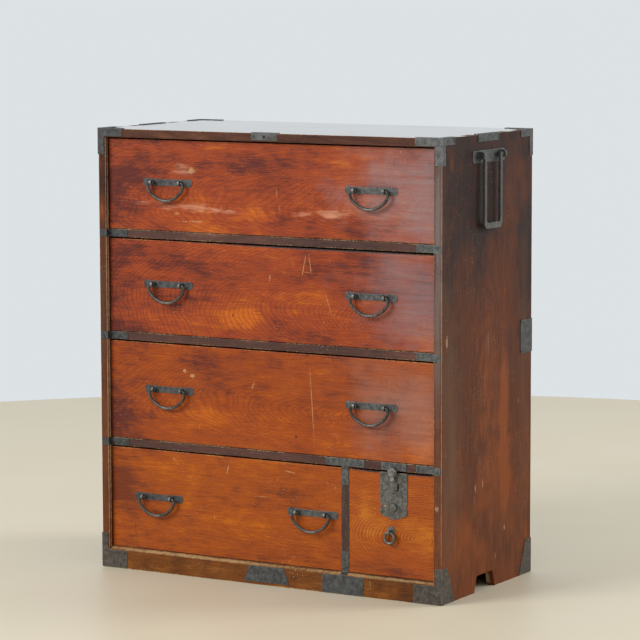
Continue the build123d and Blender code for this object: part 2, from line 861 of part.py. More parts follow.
def make_bail(x, z, label):
    """A round-rod bail: its tips turn in the eyes and its bow hangs below them."""
    half = bail_width / 2
    tip = post_spacing / 2 - post_width / 2 - bail_tip_reach
    straight_end = -half + bail_corner_radius
    bow_drop = bail_drop - bail_corner_radius
    shoulder_x = half - bail_shoulder_radius
    shoulder_room = 2 * (bow_drop - bail_shoulder_radius)
    bow_radius = (half**2 + bow_drop**2 - 2 * half * bail_shoulder_radius) / shoulder_room
    shoulder_turn = degrees(acos(shoulder_x / (bow_radius - bail_shoulder_radius)))
    hang = Plane((x, pivot_y, z), x_dir=(1, 0, 0), z_dir=(0, -1, 0))
    with BuildPart() as bail:
        with BuildLine(hang):
            left_tip = Line((-tip, 0), (straight_end, 0))
            left_corner = JernArc(left_tip @ 1, left_tip % 1, bail_corner_radius, 90)
            left = JernArc(left_corner @ 1, left_corner % 1, bail_shoulder_radius, shoulder_turn)
            bow = JernArc(left @ 1, left % 1, bow_radius, 180 - 2 * shoulder_turn)
            right = JernArc(bow @ 1, bow % 1, bail_shoulder_radius, shoulder_turn)
            right_corner = JernArc(right @ 1, right % 1, bail_corner_radius, 90)
            Line(right_corner @ 1, (tip, 0))
        with BuildSketch(Plane((x - tip, pivot_y, z), z_dir=(-1, 0, 0))):
            Circle(bail_radius)
        sweep()
    save(bail.part, label)


# ---------------------------------------------------------------- lock and ring pull
def cut_lock_pockets():
    """Cut the bolt's pocket, the key hole and the button's well in the lock drawer's front."""
    pocket = bolt_width / 2 + bolt_clearance
    pocket_low = bolt_top - bolt_length - bolt_clearance
    pocket_y = (face_y, face_y + bolt_pocket_depth)
    board((lock_x - pocket, lock_x + pocket), pocket_y, (pocket_low, lock_top), Mode.SUBTRACT)
    key_top = lock_top - key_slot_depth
    key_x = (lock_x + key_slot_x - key_slot_width, lock_x + key_slot_x)
    board(key_x, pocket_y, (key_top - key_slot_height, key_top), Mode.SUBTRACT)
    well_depth = button_flange_thickness + button_travel + 2 * button_clearance
    well_radius = button_flange_radius + button_clearance
    with Locations(Plane((lock_x, face_y, button_z), x_dir=(1, 0, 0), z_dir=(0, 1, 0))):
        Cylinder(well_radius, well_depth, align=ALIGN_UPRIGHT, mode=Mode.SUBTRACT)


def make_lock():
    """The lock's face plate, its bolt with a knob, and the push button below."""
    half = lock_plate_width / 2
    waist = half - lock_waist_inset
    slot = neck_radius + bolt_clearance
    foot = key_slot_height - key_slot_width
    cut_from_corner = (Align.MAX, Align.MAX)
    with BuildPart() as lock_plate:
        with BuildSketch(Plane((lock_x, face_y, lock_top), x_dir=(1, 0, 0), z_dir=(0, -1, 0))):
            with BuildLine():
                Line((0, 0), (half, 0))
                Line((half, 0), (half, -lock_plate_straight))
                Line((half, -lock_plate_straight), (waist, -lock_waist_depth))
                lobe_end = (lock_lobe_half_width, -lock_lobe_end)
                lobe = ThreePointArc((waist, -lock_waist_depth), (half, -lock_lobe_depth), lobe_end)
                Line(lobe @ 1, (0, -lock_plate_height))
                mirror(about=Plane.YZ)
            make_face()
            slot_low = neck_depth + slot
            with Locations((0, -slot_low / 2)):
                Rectangle(2 * slot, slot_low, mode=Mode.SUBTRACT)
            with Locations((0, -button_depth)):
                Circle(button_radius + button_clearance, mode=Mode.SUBTRACT)
            with Locations((key_slot_x, -key_slot_depth)):
                Rectangle(key_slot_width, key_slot_height, align=cut_from_corner, mode=Mode.SUBTRACT)
            with Locations((key_slot_x, -key_slot_depth - foot)):
                Rectangle(key_slot_hook, key_slot_width, align=cut_from_corner, mode=Mode.SUBTRACT)
        extrude(amount=lock_plate_thickness)
    save(lock_plate.part, "lock_plate")

    bar_back_y = face_y + bolt_pocket_depth - bolt_clearance
    bar_front_y = bar_back_y - bolt_thickness
    half_bar = bolt_width / 2
    with BuildPart() as lock_bolt:
        with BuildSketch(front_plane(knob_back_y)):
            with Locations((lock_x, knob_z)):
                RegularPolygon(knob_width / 2, 8, major_radius=False, rotation=octagon_turn)
        extrude(amount=knob_thickness)
        chamfer(lock_bolt.edges().group_by(Axis.Y)[0], knob_chamfer)
        with BuildSketch(front_plane(bar_front_y)):
            with Locations((lock_x, neck_z)):
                Circle(neck_radius)
        extrude(amount=bar_front_y - knob_back_y + knob_thickness - knob_chamfer)
        bar_x = (lock_x - half_bar, lock_x + half_bar)
        board(bar_x, (bar_front_y, bar_back_y), (bolt_top - bolt_length, bolt_top))
    save(lock_bolt.part, "lock_bolt")

    flange_back_y = face_y + button_clearance + button_flange_thickness
    with BuildPart() as lock_button:
        with BuildSketch(front_plane(flange_back_y)):
            with Locations((lock_x, button_z)):
                Circle(button_flange_radius)
        extrude(amount=button_flange_thickness)
        with BuildSketch(front_plane(flange_back_y)):
            with Locations((lock_x, button_z)):
                Circle(button_radius)
        extrude(amount=flange_back_y - lock_face_y + button_stand_out)
        fillet(lock_button.edges().group_by(Axis.Y)[0], button_round)
    save(lock_button.part, "lock_button")


def make_ring_pull():
    """The small staple of the lock drawer and the ring that hangs in it."""
    with BuildPart() as pull_staple:
        with BuildSketch(front_plane(face_y)):
            with Locations((ring_x, ring_pivot_z + staple_plate_rise)):
                Circle(staple_plate_radius)
        extrude(amount=staple_plate_thickness)
        with BuildSketch(Plane.YZ.offset(ring_x - staple_width / 2)):
            with Locations((ring_pivot_y, ring_pivot_z)):
                Circle(staple_radius)
            with Locations((ring_pivot_y + ring_stand_off / 2, ring_pivot_z)):
                Rectangle(ring_stand_off, staple_neck_height)
            with Locations((ring_pivot_y, ring_pivot_z)):
                Circle(ring_rod_radius + staple_clearance, mode=Mode.SUBTRACT)
        extrude(amount=staple_width)
    save(pull_staple.part, "pull_staple")

    with BuildPart() as pull_ring:
        centre = (ring_x, ring_pivot_y, ring_pivot_z - ring_radius)
        with Locations(Plane(centre, x_dir=(1, 0, 0), z_dir=(0, -1, 0))):
            Torus(ring_radius, ring_rod_radius)
    save(pull_ring.part, "pull_ring")


# ---------------------------------------------------------------- the whole chest
os.makedirs("parts", exist_ok=True)
make_case()
make_corner_irons()
make_edge_plates()
make_straps()
make_nails()
make_carrying_handles()
for bay in bays:
    make_drawer_box(bay)
    if bay.handles:
        make_handle_mounts(bay)
        make_bail(bay.handles[0], bay.handle_z, f"{bay.name}_left_bail")
        make_bail(bay.handles[1], bay.handle_z, f"{bay.name}_right_bail")
make_lock()
make_ring_pull()
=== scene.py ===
"""Looks of the isho clothing chest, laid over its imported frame.

Metres, in the part's own frame: +X to the right seen from the front, +Y to the back, +Z up,
with the origin on the floor in the middle of the case.
"""

import logging
import math
from dataclasses import dataclass, field, replace
from enum import Enum
from typing import Callable, ClassVar, Iterable

import bmesh
import bpy
from mathutils import Matrix, Vector, noise


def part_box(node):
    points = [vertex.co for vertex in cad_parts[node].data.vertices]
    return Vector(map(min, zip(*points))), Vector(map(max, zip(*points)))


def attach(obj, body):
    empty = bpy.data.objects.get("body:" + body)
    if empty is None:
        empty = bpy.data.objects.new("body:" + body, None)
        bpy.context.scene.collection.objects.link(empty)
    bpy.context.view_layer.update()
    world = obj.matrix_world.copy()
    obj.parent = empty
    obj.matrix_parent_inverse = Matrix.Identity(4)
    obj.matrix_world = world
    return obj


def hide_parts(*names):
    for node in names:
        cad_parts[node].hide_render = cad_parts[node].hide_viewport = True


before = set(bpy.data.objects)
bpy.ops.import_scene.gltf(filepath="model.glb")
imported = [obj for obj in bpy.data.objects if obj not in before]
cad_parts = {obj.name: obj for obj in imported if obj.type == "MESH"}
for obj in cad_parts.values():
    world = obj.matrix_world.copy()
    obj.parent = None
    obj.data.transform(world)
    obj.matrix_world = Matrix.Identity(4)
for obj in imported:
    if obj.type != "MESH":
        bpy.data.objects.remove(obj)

LOG = logging.getLogger("chest")
MM = 0.001
WELD = 0.01 * MM
SOFT_ANGLE = math.radians(40)
WEAR_LAYER = "wear"
TOP_HOLE_DROP = 7.75 * MM  # how far the hole in the top edge's middle plate lies below the top
Triple = tuple[float, float, float]
Colour = Triple
Material = bpy.types.Material
Socket = bpy.types.NodeSocket
Sockets = dict[str, Socket]
Feed = Socket | float | Colour  # what a socket takes: another socket or its own value
Dome = tuple[tuple[float, float], ...]  # how far out each point of a profile lies, and how high


# ---------------------------------- laying shader nodes
class Graph:
    """Short calls for laying nodes in one node tree."""

    def __init__(self, tree: bpy.types.NodeTree) -> None:
        """Keep the tree that the nodes go into."""
        self.tree = tree

    def put(self, socket: Socket, value: Feed) -> None:
        """Link a socket to another socket, or set its own value.

        Args:
            socket: The input to feed.
            value: A socket, a number, a vector or a colour of three numbers.
        """
        if isinstance(value, Socket):
            self.tree.links.new(value, socket)
        elif socket.type == "RGBA":
            socket.default_value = (*value, 1.0)
        else:
            socket.default_value = value

    def add(self, kind: str, inputs: dict | None = None, **settings: object) -> bpy.types.Node:
        """Lay one node.

        Args:
            kind: The node's type name.
            inputs: What goes into its sockets, by name or index.
            settings: Its own properties.

        Returns:
            The new node.
        """
        node = self.tree.nodes.new(kind)
        for name, value in settings.items():
            setattr(node, name, value)
        for name, value in (inputs or {}).items():
            self.put(node.inputs[name], value)
        return node

    def math(self, operation: str, *values: Feed, clamp: bool = False) -> Socket:
        """The result of a Math node."""
        node = self.add("ShaderNodeMath", dict(enumerate(values)), operation=operation, use_clamp=clamp)
        return node.outputs[0]

    def vector(self, operation: str, *values: Feed) -> Socket:
        """The vector of a Vector Math node."""
        return self.add("ShaderNodeVectorMath", dict(enumerate(values)), operation=operation).outputs[0]

    def length(self, value: Feed) -> Socket:
        """The length of a vector."""
        return self.add("ShaderNodeVectorMath", {0: value}, operation="LENGTH").outputs["Value"]

    def split(self, value: Feed) -> tuple[Socket, ...]:
        """The three parts of a vector."""
        return tuple(self.add("ShaderNodeSeparateXYZ", {0: value}).outputs)

    def join(self, x: Feed, y: Feed, z: Feed) -> Socket:
        """A vector of three numbers."""
        return self.add("ShaderNodeCombineXYZ", {0: x, 1: y, 2: z}).outputs[0]

    def stretch(self, value: Feed, scale: Triple, shift: Triple = (0.0, 0.0, 0.0)) -> Socket:
        """A vector scaled along each axis, then shifted."""
        inputs = {"Vector": value, "Scale": scale, "Location": shift}
        return self.add("ShaderNodeMapping", inputs).outputs[0]

    def noise(self, place: Feed, scale: Feed, detail: float = 2.0, roughness: float = 0.5) -> Socket:
        """Soft noise from 0 to 1, about 0.5."""
        inputs = {"Vector": place, "Scale": scale, "Detail": detail, "Roughness": roughness}
        return self.add("ShaderNodeTexNoise", inputs).outputs[0]

    def band(self, value: Feed, low: Feed, high: Feed, start: float = 0.0, end: float = 1.0) -> Socket:
        """A smooth step of a value between two limits.

        Args:
            value: The number to step.
            low: Where the step starts.
            high: Where it ends.
            start: The result at and below low.
            end: The result at and above high.

        Returns:
            The stepped value.
        """
        inputs = {"Value": value, "From Min": low, "From Max": high, "To Min": start, "To Max": end}
        return self.add("ShaderNodeMapRange", inputs, interpolation_type="SMOOTHSTEP").outputs[0]

    def blend(self, share: Feed, one: Feed, other: Feed, mode: str = "MIX") -> Socket:
        """One colour turned towards another by a share.

        Args:
            share: From 0, the first colour, to 1, the second.
            one: The first colour.
            other: The second colour.
            mode: How they mix.

        Returns:
            The mixed colour.
        """
        node = self.add("ShaderNodeMix", data_type="RGBA", blend_type=mode)
        for index, value in ((0, share), (6, one), (7, other)):
            self.put(node.inputs[index], value)
        return node.outputs[2]

    def tint(self, share: Feed, colour: Feed, tint: Colour) -> Socket:
        """A colour darkened by a tint where the share says so."""
        return self.blend(share, colour, self.blend(1.0, colour, tint, "MULTIPLY"))

    def most(self, masks: Iterable[Feed]) -> Feed:
        """The strongest of several masks.

        Args:
            masks: The masks.

        Returns:
            The strongest, or 0 if there are none.
        """
        strongest: Feed = 0.0
        for index, mask in enumerate(masks):
            strongest = mask if index == 0 else self.math("MAXIMUM", strongest, mask)
        return strongest


class Kind(Enum):
    """What a group's socket holds."""

    NUMBER = "NodeSocketFloat"
    VECTOR = "NodeSocketVector"


class Effect:
    """A shader node group that several finishes share, built once."""

    name: ClassVar[str] = ""
    takes: ClassVar[dict[str, Kind]] = {}
    gives: ClassVar[tuple[str, ...]] = ()

    @classmethod
    def lay(cls, g: Graph, given: Sockets) -> Sockets:
        """Lay the group's nodes; each effect says how."""
        raise NotImplementedError

    @classmethod
    def tree(cls) -> bpy.types.NodeTree:
        """The group's tree, made the first time it is asked for.

        Returns:
            The shader node tree with named sockets.
        """
        found = bpy.data.node_groups.get(cls.name)
        if found:
            return found
        tree = bpy.data.node_groups.new(cls.name, "ShaderNodeTree")
        for name, kind in cls.takes.items():
            tree.interface.new_socket(name=name, in_out="INPUT", socket_type=kind.value)
        for name in cls.gives:
            tree.interface.new_socket(name=name, in_out="OUTPUT", socket_type=Kind.NUMBER.value)
        g = Graph(tree)
        entry = g.add("NodeGroupInput")
        results = cls.lay(g, {name: entry.outputs[name] for name in cls.takes})
        g.add("NodeGroupOutput", results)
        return tree

    @classmethod
    def place(cls, g: Graph, **values: Feed) -> Sockets:
        """Place the group in a finish with that finish's own values.

        Args:
            g: The finish's graph.
            values: What goes into the sockets; an underscore stands for a space.

        Returns:
            The group's outputs by name.
        """
        node = g.add("ShaderNodeGroup", node_tree=cls.tree())
        for name, value in values.items():
            g.put(node.inputs[name.replace("_", " ")], value)
        return {name: node.outputs[name] for name in cls.gives}


class GrowthRings(Effect):
    """Growth rings of a log whose pith runs roughly along the vector's x, cut by the board."""

    name = "growth_rings"
    takes = {
        "Vector": Kind.VECTOR,
        "Pith": Kind.VECTOR,
        "Slope": Kind.NUMBER,
        "Spacing": Kind.NUMBER,
        "Waver": Kind.NUMBER,
    }
    gives = ("Rings", "Pores", "Fibre")

    @classmethod
    def lay(cls, g: Graph, given: Sockets) -> Sockets:
        """Lay the rings, the pores in the early wood and the fibre lines.

        Args:
            g: The group's graph.
            given: The group's inputs.

        Returns:
            The group's outputs.
        """
        place = given["Vector"]
        along, depth, across = g.split(g.vector("SUBTRACT", place, given["Pith"]))
        drift = g.math("SUBTRACT", g.noise(g.stretch(place, (2.2, 3.0, 5.0)), 1.0, 1.0), 0.5)
        swaying = g.stretch(place, (3.5, 4.0, 9.0), (7.0, 3.0, 1.0))
        sway = g.math("SUBTRACT", g.noise(swaying, 1.0, 2.0), 0.5)
        ripple = g.math("SUBTRACT", g.noise(g.stretch(place, (26.0, 60.0, 60.0)), 1.0, 2.0), 0.5)
        shifted = g.math("MULTIPLY_ADD", drift, given["Waver"], across)
        tilted = g.math("MULTIPLY_ADD", along, given["Slope"], depth)
        deep = g.math("MULTIPLY_ADD", sway, given["Waver"], tilted)
        radius = g.length(g.join(shifted, deep, 0.0))
        radius = g.math("MULTIPLY_ADD", ripple, 2.2 * MM, radius)
        inputs = {"W": radius, "Scale": 90.0}
        uneven = g.add("ShaderNodeTexNoise", inputs, noise_dimensions="1D").outputs[0]
        year = g.math("DIVIDE", g.math("MULTIPLY_ADD", uneven, 4.0 * MM, radius), given["Spacing"])
        phase = g.math("FRACT", year)
        rise = g.band(phase, 0.4, 0.82)
        fall = g.band(phase, 0.86, 1.0, 1.0, 0.0)
        pore_spots = g.noise(g.stretch(place, (110.0, 1100.0, 1100.0)), 1.0, 1.0)
        early = g.band(phase, 0.0, 0.45, 1.0, 0.0)
        fibre = g.noise(g.stretch(place, (18.0, 420.0, 420.0)), 1.0, 3.0, 0.6)
        return {
            "Rings": g.math("MULTIPLY", rise, fall),
            "Pores": g.math("MULTIPLY", g.band(pore_spots, 0.56, 0.66), early),
            "Fibre": fibre,
        }


class EdgeWear(Effect):
    """Wear along the arrises of a board, from its own box."""

    name = "edge_wear"
    takes = {
        "Vector": Kind.VECTOR,
        "Low": Kind.VECTOR,
        "High": Kind.VECTOR,
        "Width": Kind.NUMBER,
        "Patchy": Kind.NUMBER,
    }
    gives = ("Mask",)

    @classmethod
    def lay(cls, g: Graph, given: Sockets) -> Sockets:
        """Lay the distance to the nearest arris, and break it up.

        Args:
            g: The group's graph.
            given: The group's inputs.

        Returns:
            The group's outputs.
        """
        place = given["Vector"]
        from_low = g.vector("SUBTRACT", place, given["Low"])
        from_high = g.vector("SUBTRACT", given["High"], place)
        near_x, near_y, near_z = g.split(g.vector("MINIMUM", from_low, from_high))
        lesser = g.math("MINIMUM", near_x, near_y)
        greater = g.math("MAXIMUM", near_x, near_y)
        second = g.math("MAXIMUM", lesser, g.math("MINIMUM", greater, near_z))
        long_runs = g.band(g.noise(place, 11.0, 3.0, 0.6), 0.36, 0.62)
        nicks = g.band(g.noise(place, 170.0, 3.0, 0.65), 0.38, 0.66)
        steady = g.math("SUBTRACT", 1.0, given["Patchy"])
        share = g.math("MULTIPLY_ADD", g.math("MULTIPLY", long_runs, nicks), given["Patchy"], steady)
        reach = g.math("MULTIPLY", share, given["Width"])
        start, end = g.math("MULTIPLY", reach, 0.45), g.math("ADD", reach, 0.05 * MM)
        near = g.band(second, start, end, 1.0, 0.0)
        within = g.band(g.math("MINIMUM", lesser, near_z), -1.0 * MM, -0.5 * MM)
        return {"Mask": g.math("MULTIPLY", near, within)}


class Patch(Effect):
    """A soft or ragged oval mark at a place on the piece."""

    name = "patch"
    takes = {
        "Vector": Kind.VECTOR,
        "Centre": Kind.VECTOR,
        "Size": Kind.VECTOR,
        "Turn": Kind.VECTOR,
        "Draw": Kind.VECTOR,
        "Softness": Kind.NUMBER,
        "Ragged": Kind.NUMBER,
        "Grit": Kind.NUMBER,
    }
    gives = ("Mask",)

    @classmethod
    def lay(cls, g: Graph, given: Sockets) -> Sockets:
        """Lay the oval, with an edge broken by noise whose grain follows Grit.

        Args:
            g: The group's graph.
            given: The group's inputs.

        Returns:
            The group's outputs.
        """
        offset = g.vector("SUBTRACT", given["Vector"], given["Centre"])
        inputs = {"Vector": offset, "Rotation": given["Turn"]}
        turned = g.add("ShaderNodeVectorRotate", inputs, rotation_type="EULER_XYZ").outputs[0]
        away = g.length(g.vector("DIVIDE", turned, given["Size"]))
        drawn = g.vector("MULTIPLY", given["Vector"], given["Draw"])
        rough = g.math("SUBTRACT", g.noise(drawn, given["Grit"], 4.0, 0.62), 0.5)
        away = g.math("MULTIPLY_ADD", rough, given["Ragged"], away)
        start = g.math("SUBTRACT", 1.0, given["Softness"])
        return {"Mask": g.band(away, start, 1.0, 1.0, 0.0)}


class Handling(Effect):
    """Fine scratches, rubbed specks and cloudy polish of a surface that hands touch."""

    name = "handling"
    takes = {"Vector": Kind.VECTOR, "Amount": Kind.NUMBER}
    gives = ("Scratches", "Specks", "Pits", "Cloud")

    @classmethod
    def lay(cls, g: Graph, given: Sockets) -> Sockets:
        """Lay four sets of marks at their own scales.

        Args:
            g: The group's graph.
            given: The group's inputs.

        Returns:
            The group's outputs.
        """
        place = given["Vector"]
        steep = g.add("ShaderNodeMapping", {"Vector": place, "Rotation": (0.05, 0.16, 0.0)}).outputs[0]
        thin = g.noise(g.stretch(steep, (620.0, 620.0, 14.0)), 1.0, 1.0)
        where = g.band(g.noise(place, 9.0, 2.0), 0.52, 0.7)
        scratches = g.math("MULTIPLY", g.band(thin, 0.735, 0.79), where)
        dots = g.noise(place, 330.0, 2.0, 0.55)
        thick = g.band(g.noise(place, 13.0, 3.0, 0.6), 0.45, 0.72)
        specks = g.math("MULTIPLY", g.band(dots, 0.645, 0.72), thick)
        holes = g.noise(g.stretch(place, (1.0, 1.0, 1.0), (5.0, 3.0, 9.0)), 260.0, 2.0, 0.55)
        pits = g.math("MULTIPLY", g.band(holes, 0.66, 0.73), g.band(thick, 0.2, 0.6, 1.0, 0.3))
        cloud = g.noise(g.stretch(place, (7.0, 7.0, 11.0), (3.0, 1.0, 2.0)), 1.0, 4.0, 0.6)
        return {
            "Scratches": g.math("MULTIPLY", scratches, given["Amount"]),
            "Specks": g.math("MULTIPLY", specks, given["Amount"]),
            "Pits": g.math("MULTIPLY", pits, given["Amount"]),
            "Cloud": cloud,
        }


class FacingUp(Effect):
    """Where a face is turned up, softly, down to the steepest slope that counts."""

    name = "facing_up"
    takes = {"Steepest": Kind.NUMBER}
    gives = ("Mask",)

    @classmethod
    def lay(cls, g: Graph, given: Sockets) -> Sockets:
        """Lay a smooth step of the normal's rise."""
        rise = g.split(g.add("ShaderNodeNewGeometry").outputs["Normal"])[2]
        return {"Mask": g.band(rise, given["Steepest"], 0.98)}


class Dust(Effect):
    """Dust that settles on faces turned up."""

    name = "dust"
    takes = {"Vector": Kind.VECTOR, "Amount": Kind.NUMBER}
    gives = ("Mask",)

    @classmethod
    def lay(cls, g: Graph, given: Sockets) -> Sockets:
        """Lay the upward share of the normal, broken up by noise.

        Args:
            g: The group's graph.
            given: The group's inputs.

        Returns:
            The group's outputs.
        """
        flat = FacingUp.place(g, Steepest=0.5)["Mask"]
        drift = g.band(g.noise(given["Vector"], 24.0, 4.0, 0.65), 0.3, 0.75, 0.35, 1.0)
        return {"Mask": g.math("MULTIPLY", g.math("MULTIPLY", flat, drift), given["Amount"])}


class ForgedSkin(Effect):
    """Hammer marks, scale and pitting of wrought iron."""

    name = "forged_skin"
    takes = {"Vector": Kind.VECTOR}
    gives = ("Mottle", "Pits", "Flecks", "Height")

    @classmethod
    def lay(cls, g: Graph, given: Sockets) -> Sockets:
        """Lay blotches of scale, small pits and the hammered height.

        Args:
            g: The group's graph.
            given: The group's inputs.

        Returns:
            The group's outputs.
        """
        place = given["Vector"]
        blotches = g.noise(place, 110.0, 5.0, 0.7)
        grit = g.noise(place, 420.0, 3.0, 0.6)
        pits = g.band(grit, 0.6, 0.72)
        bright = g.noise(g.stretch(place, (1.0, 1.0, 1.0), (2.0, 6.0, 4.0)), 330.0, 3.0, 0.6)
        inputs = {"Vector": place, "Scale": 150.0, "Smoothness": 0.6}
        blows = g.add("ShaderNodeTexVoronoi", inputs, feature="SMOOTH_F1").outputs["Distance"]
        height = g.math("MULTIPLY_ADD", pits, -0.5, g.math("MULTIPLY_ADD", grit, 0.35, blows))
        return {"Mottle": blotches, "Pits": pits, "Flecks": g.band(bright, 0.6, 0.7), "Height": height}


# ---------------------------------- finishes
class Mark(Enum):
    """What a mark on a lacquered face is.

    Each has its name, its softness, its raggedness, the scale of its grit and how far the grit
    is drawn out across the face, where 1 is not at all.
    """

    GLOW = ("glow", 1.0, 1.6, 12.0, 0.6)
    SHADE = ("shade", 1.0, 1.6, 12.0, 0.6)
    # A pale haze standing in for the lacquer's sheen: a painted reflection.
    SHEEN = ("veil", 1.0, 1.4, 11.0, 1.0)
    RUB = ("rub", 0.9, 3.6, 110.0, 0.22)
    BLOOM = ("bloom", 0.9, 0.9, 9.0, 1.0)
    WORN = ("worn", 0.6, 1.3, 90.0, 1.0)
    BARE = ("bare", 0.3, 4.2, 380.0, 1.0)
    SCRATCH = ("scratch", 0.6, 1.8, 160.0, 1.0)
    # Dents, and also the dark shadow painted into gaps and holes.
    DENT_AND_SHADOW = ("dent", 0.7, 1.2, 200.0, 1.0)


Masks = dict[Mark, Feed]


class Face(Enum):
    """A face that marks lie on: its name and the axes that run across it, up it and through it."""

    FRONT = ("front", 0, 2, 1)
    SIDE = ("side", 1, 2, 0)
    JAMB = ("jamb", 1, 2, 0)


@dataclass(frozen=True)
class Spot:
    """One mark, in millimetres.

    Its middle across and up the face, half its width and half its height, and how far it
    reaches through the face, where it meets another.
    """

    kind: Mark
    across: float
    up: float
    half_width: float
    half_height: float
    tilt: float = 0.0
    strength: float = 1.0
    face: Face = Face.FRONT
    depth: float = 14.0


class Grain(Enum):
    """How a board's fibres run: the axes taken as along, depth and across."""

    LEVEL = (0, 1, 2)
    UPRIGHT = (2, 0, 1)
    FLAT = (0, 2, 1)
    DEEP = (1, 0, 2)

    def turn(self, g: Graph, place: Feed) -> Socket:
        """The piece's coordinates, turned so that x runs along the fibres."""
        axes = g.split(place)
        return g.join(*(axes[i] for i in self.value))


@dataclass(frozen=True)
class Log:
    """Where the board was cut from its log: the pith, the slope of the cut and the ring spacing."""

    pith: Triple = (0.0, 0.05, 0.3)
    slope: float = 0.1
    spacing: float = 3.6 * MM
    waver: float = 45.0 * MM

    def rings(self, g: Graph, along: Feed) -> Sockets:
        """The growth rings' outputs, for coordinates whose x runs along the fibres."""
        cut = {"Pith": self.pith, "Slope": self.slope, "Spacing": self.spacing, "Waver": self.waver}
        return GrowthRings.place(g, Vector=along, **cut)


@dataclass(frozen=True)
class Finish:
    """What every finish has: a name and a way to start its material."""

    name: str

    def start(self) -> tuple[Material, Graph, bpy.types.Node, Socket]:
        """Start a material with its shader and the piece's own coordinates.

        Returns:
            The material, its graph, the shader and the coordinates.
        """
        material = bpy.data.materials.new(self.name)
        material.use_nodes = True
        material.node_tree.nodes.clear()
        g = Graph(material.node_tree)
        shader = g.add("ShaderNodeBsdfPrincipled")
        g.add("ShaderNodeOutputMaterial", {"Surface": shader.outputs[0]})
        place = g.add("ShaderNodeTexCoord").outputs["Object"]
        return material, g, shader, place

    @staticmethod
    def raise_surface(g: Graph, shader: bpy.types.Node, height: Feed, relief: float) -> None:
        """Feed a height to the shader's normal, where a height of 1 stands for the relief in metres."""
        bump = g.add("ShaderNodeBump", {"Strength": 1.0, "Distance": relief, "Height": height})
        g.put(shader.inputs["Normal"], bump.outputs[0])


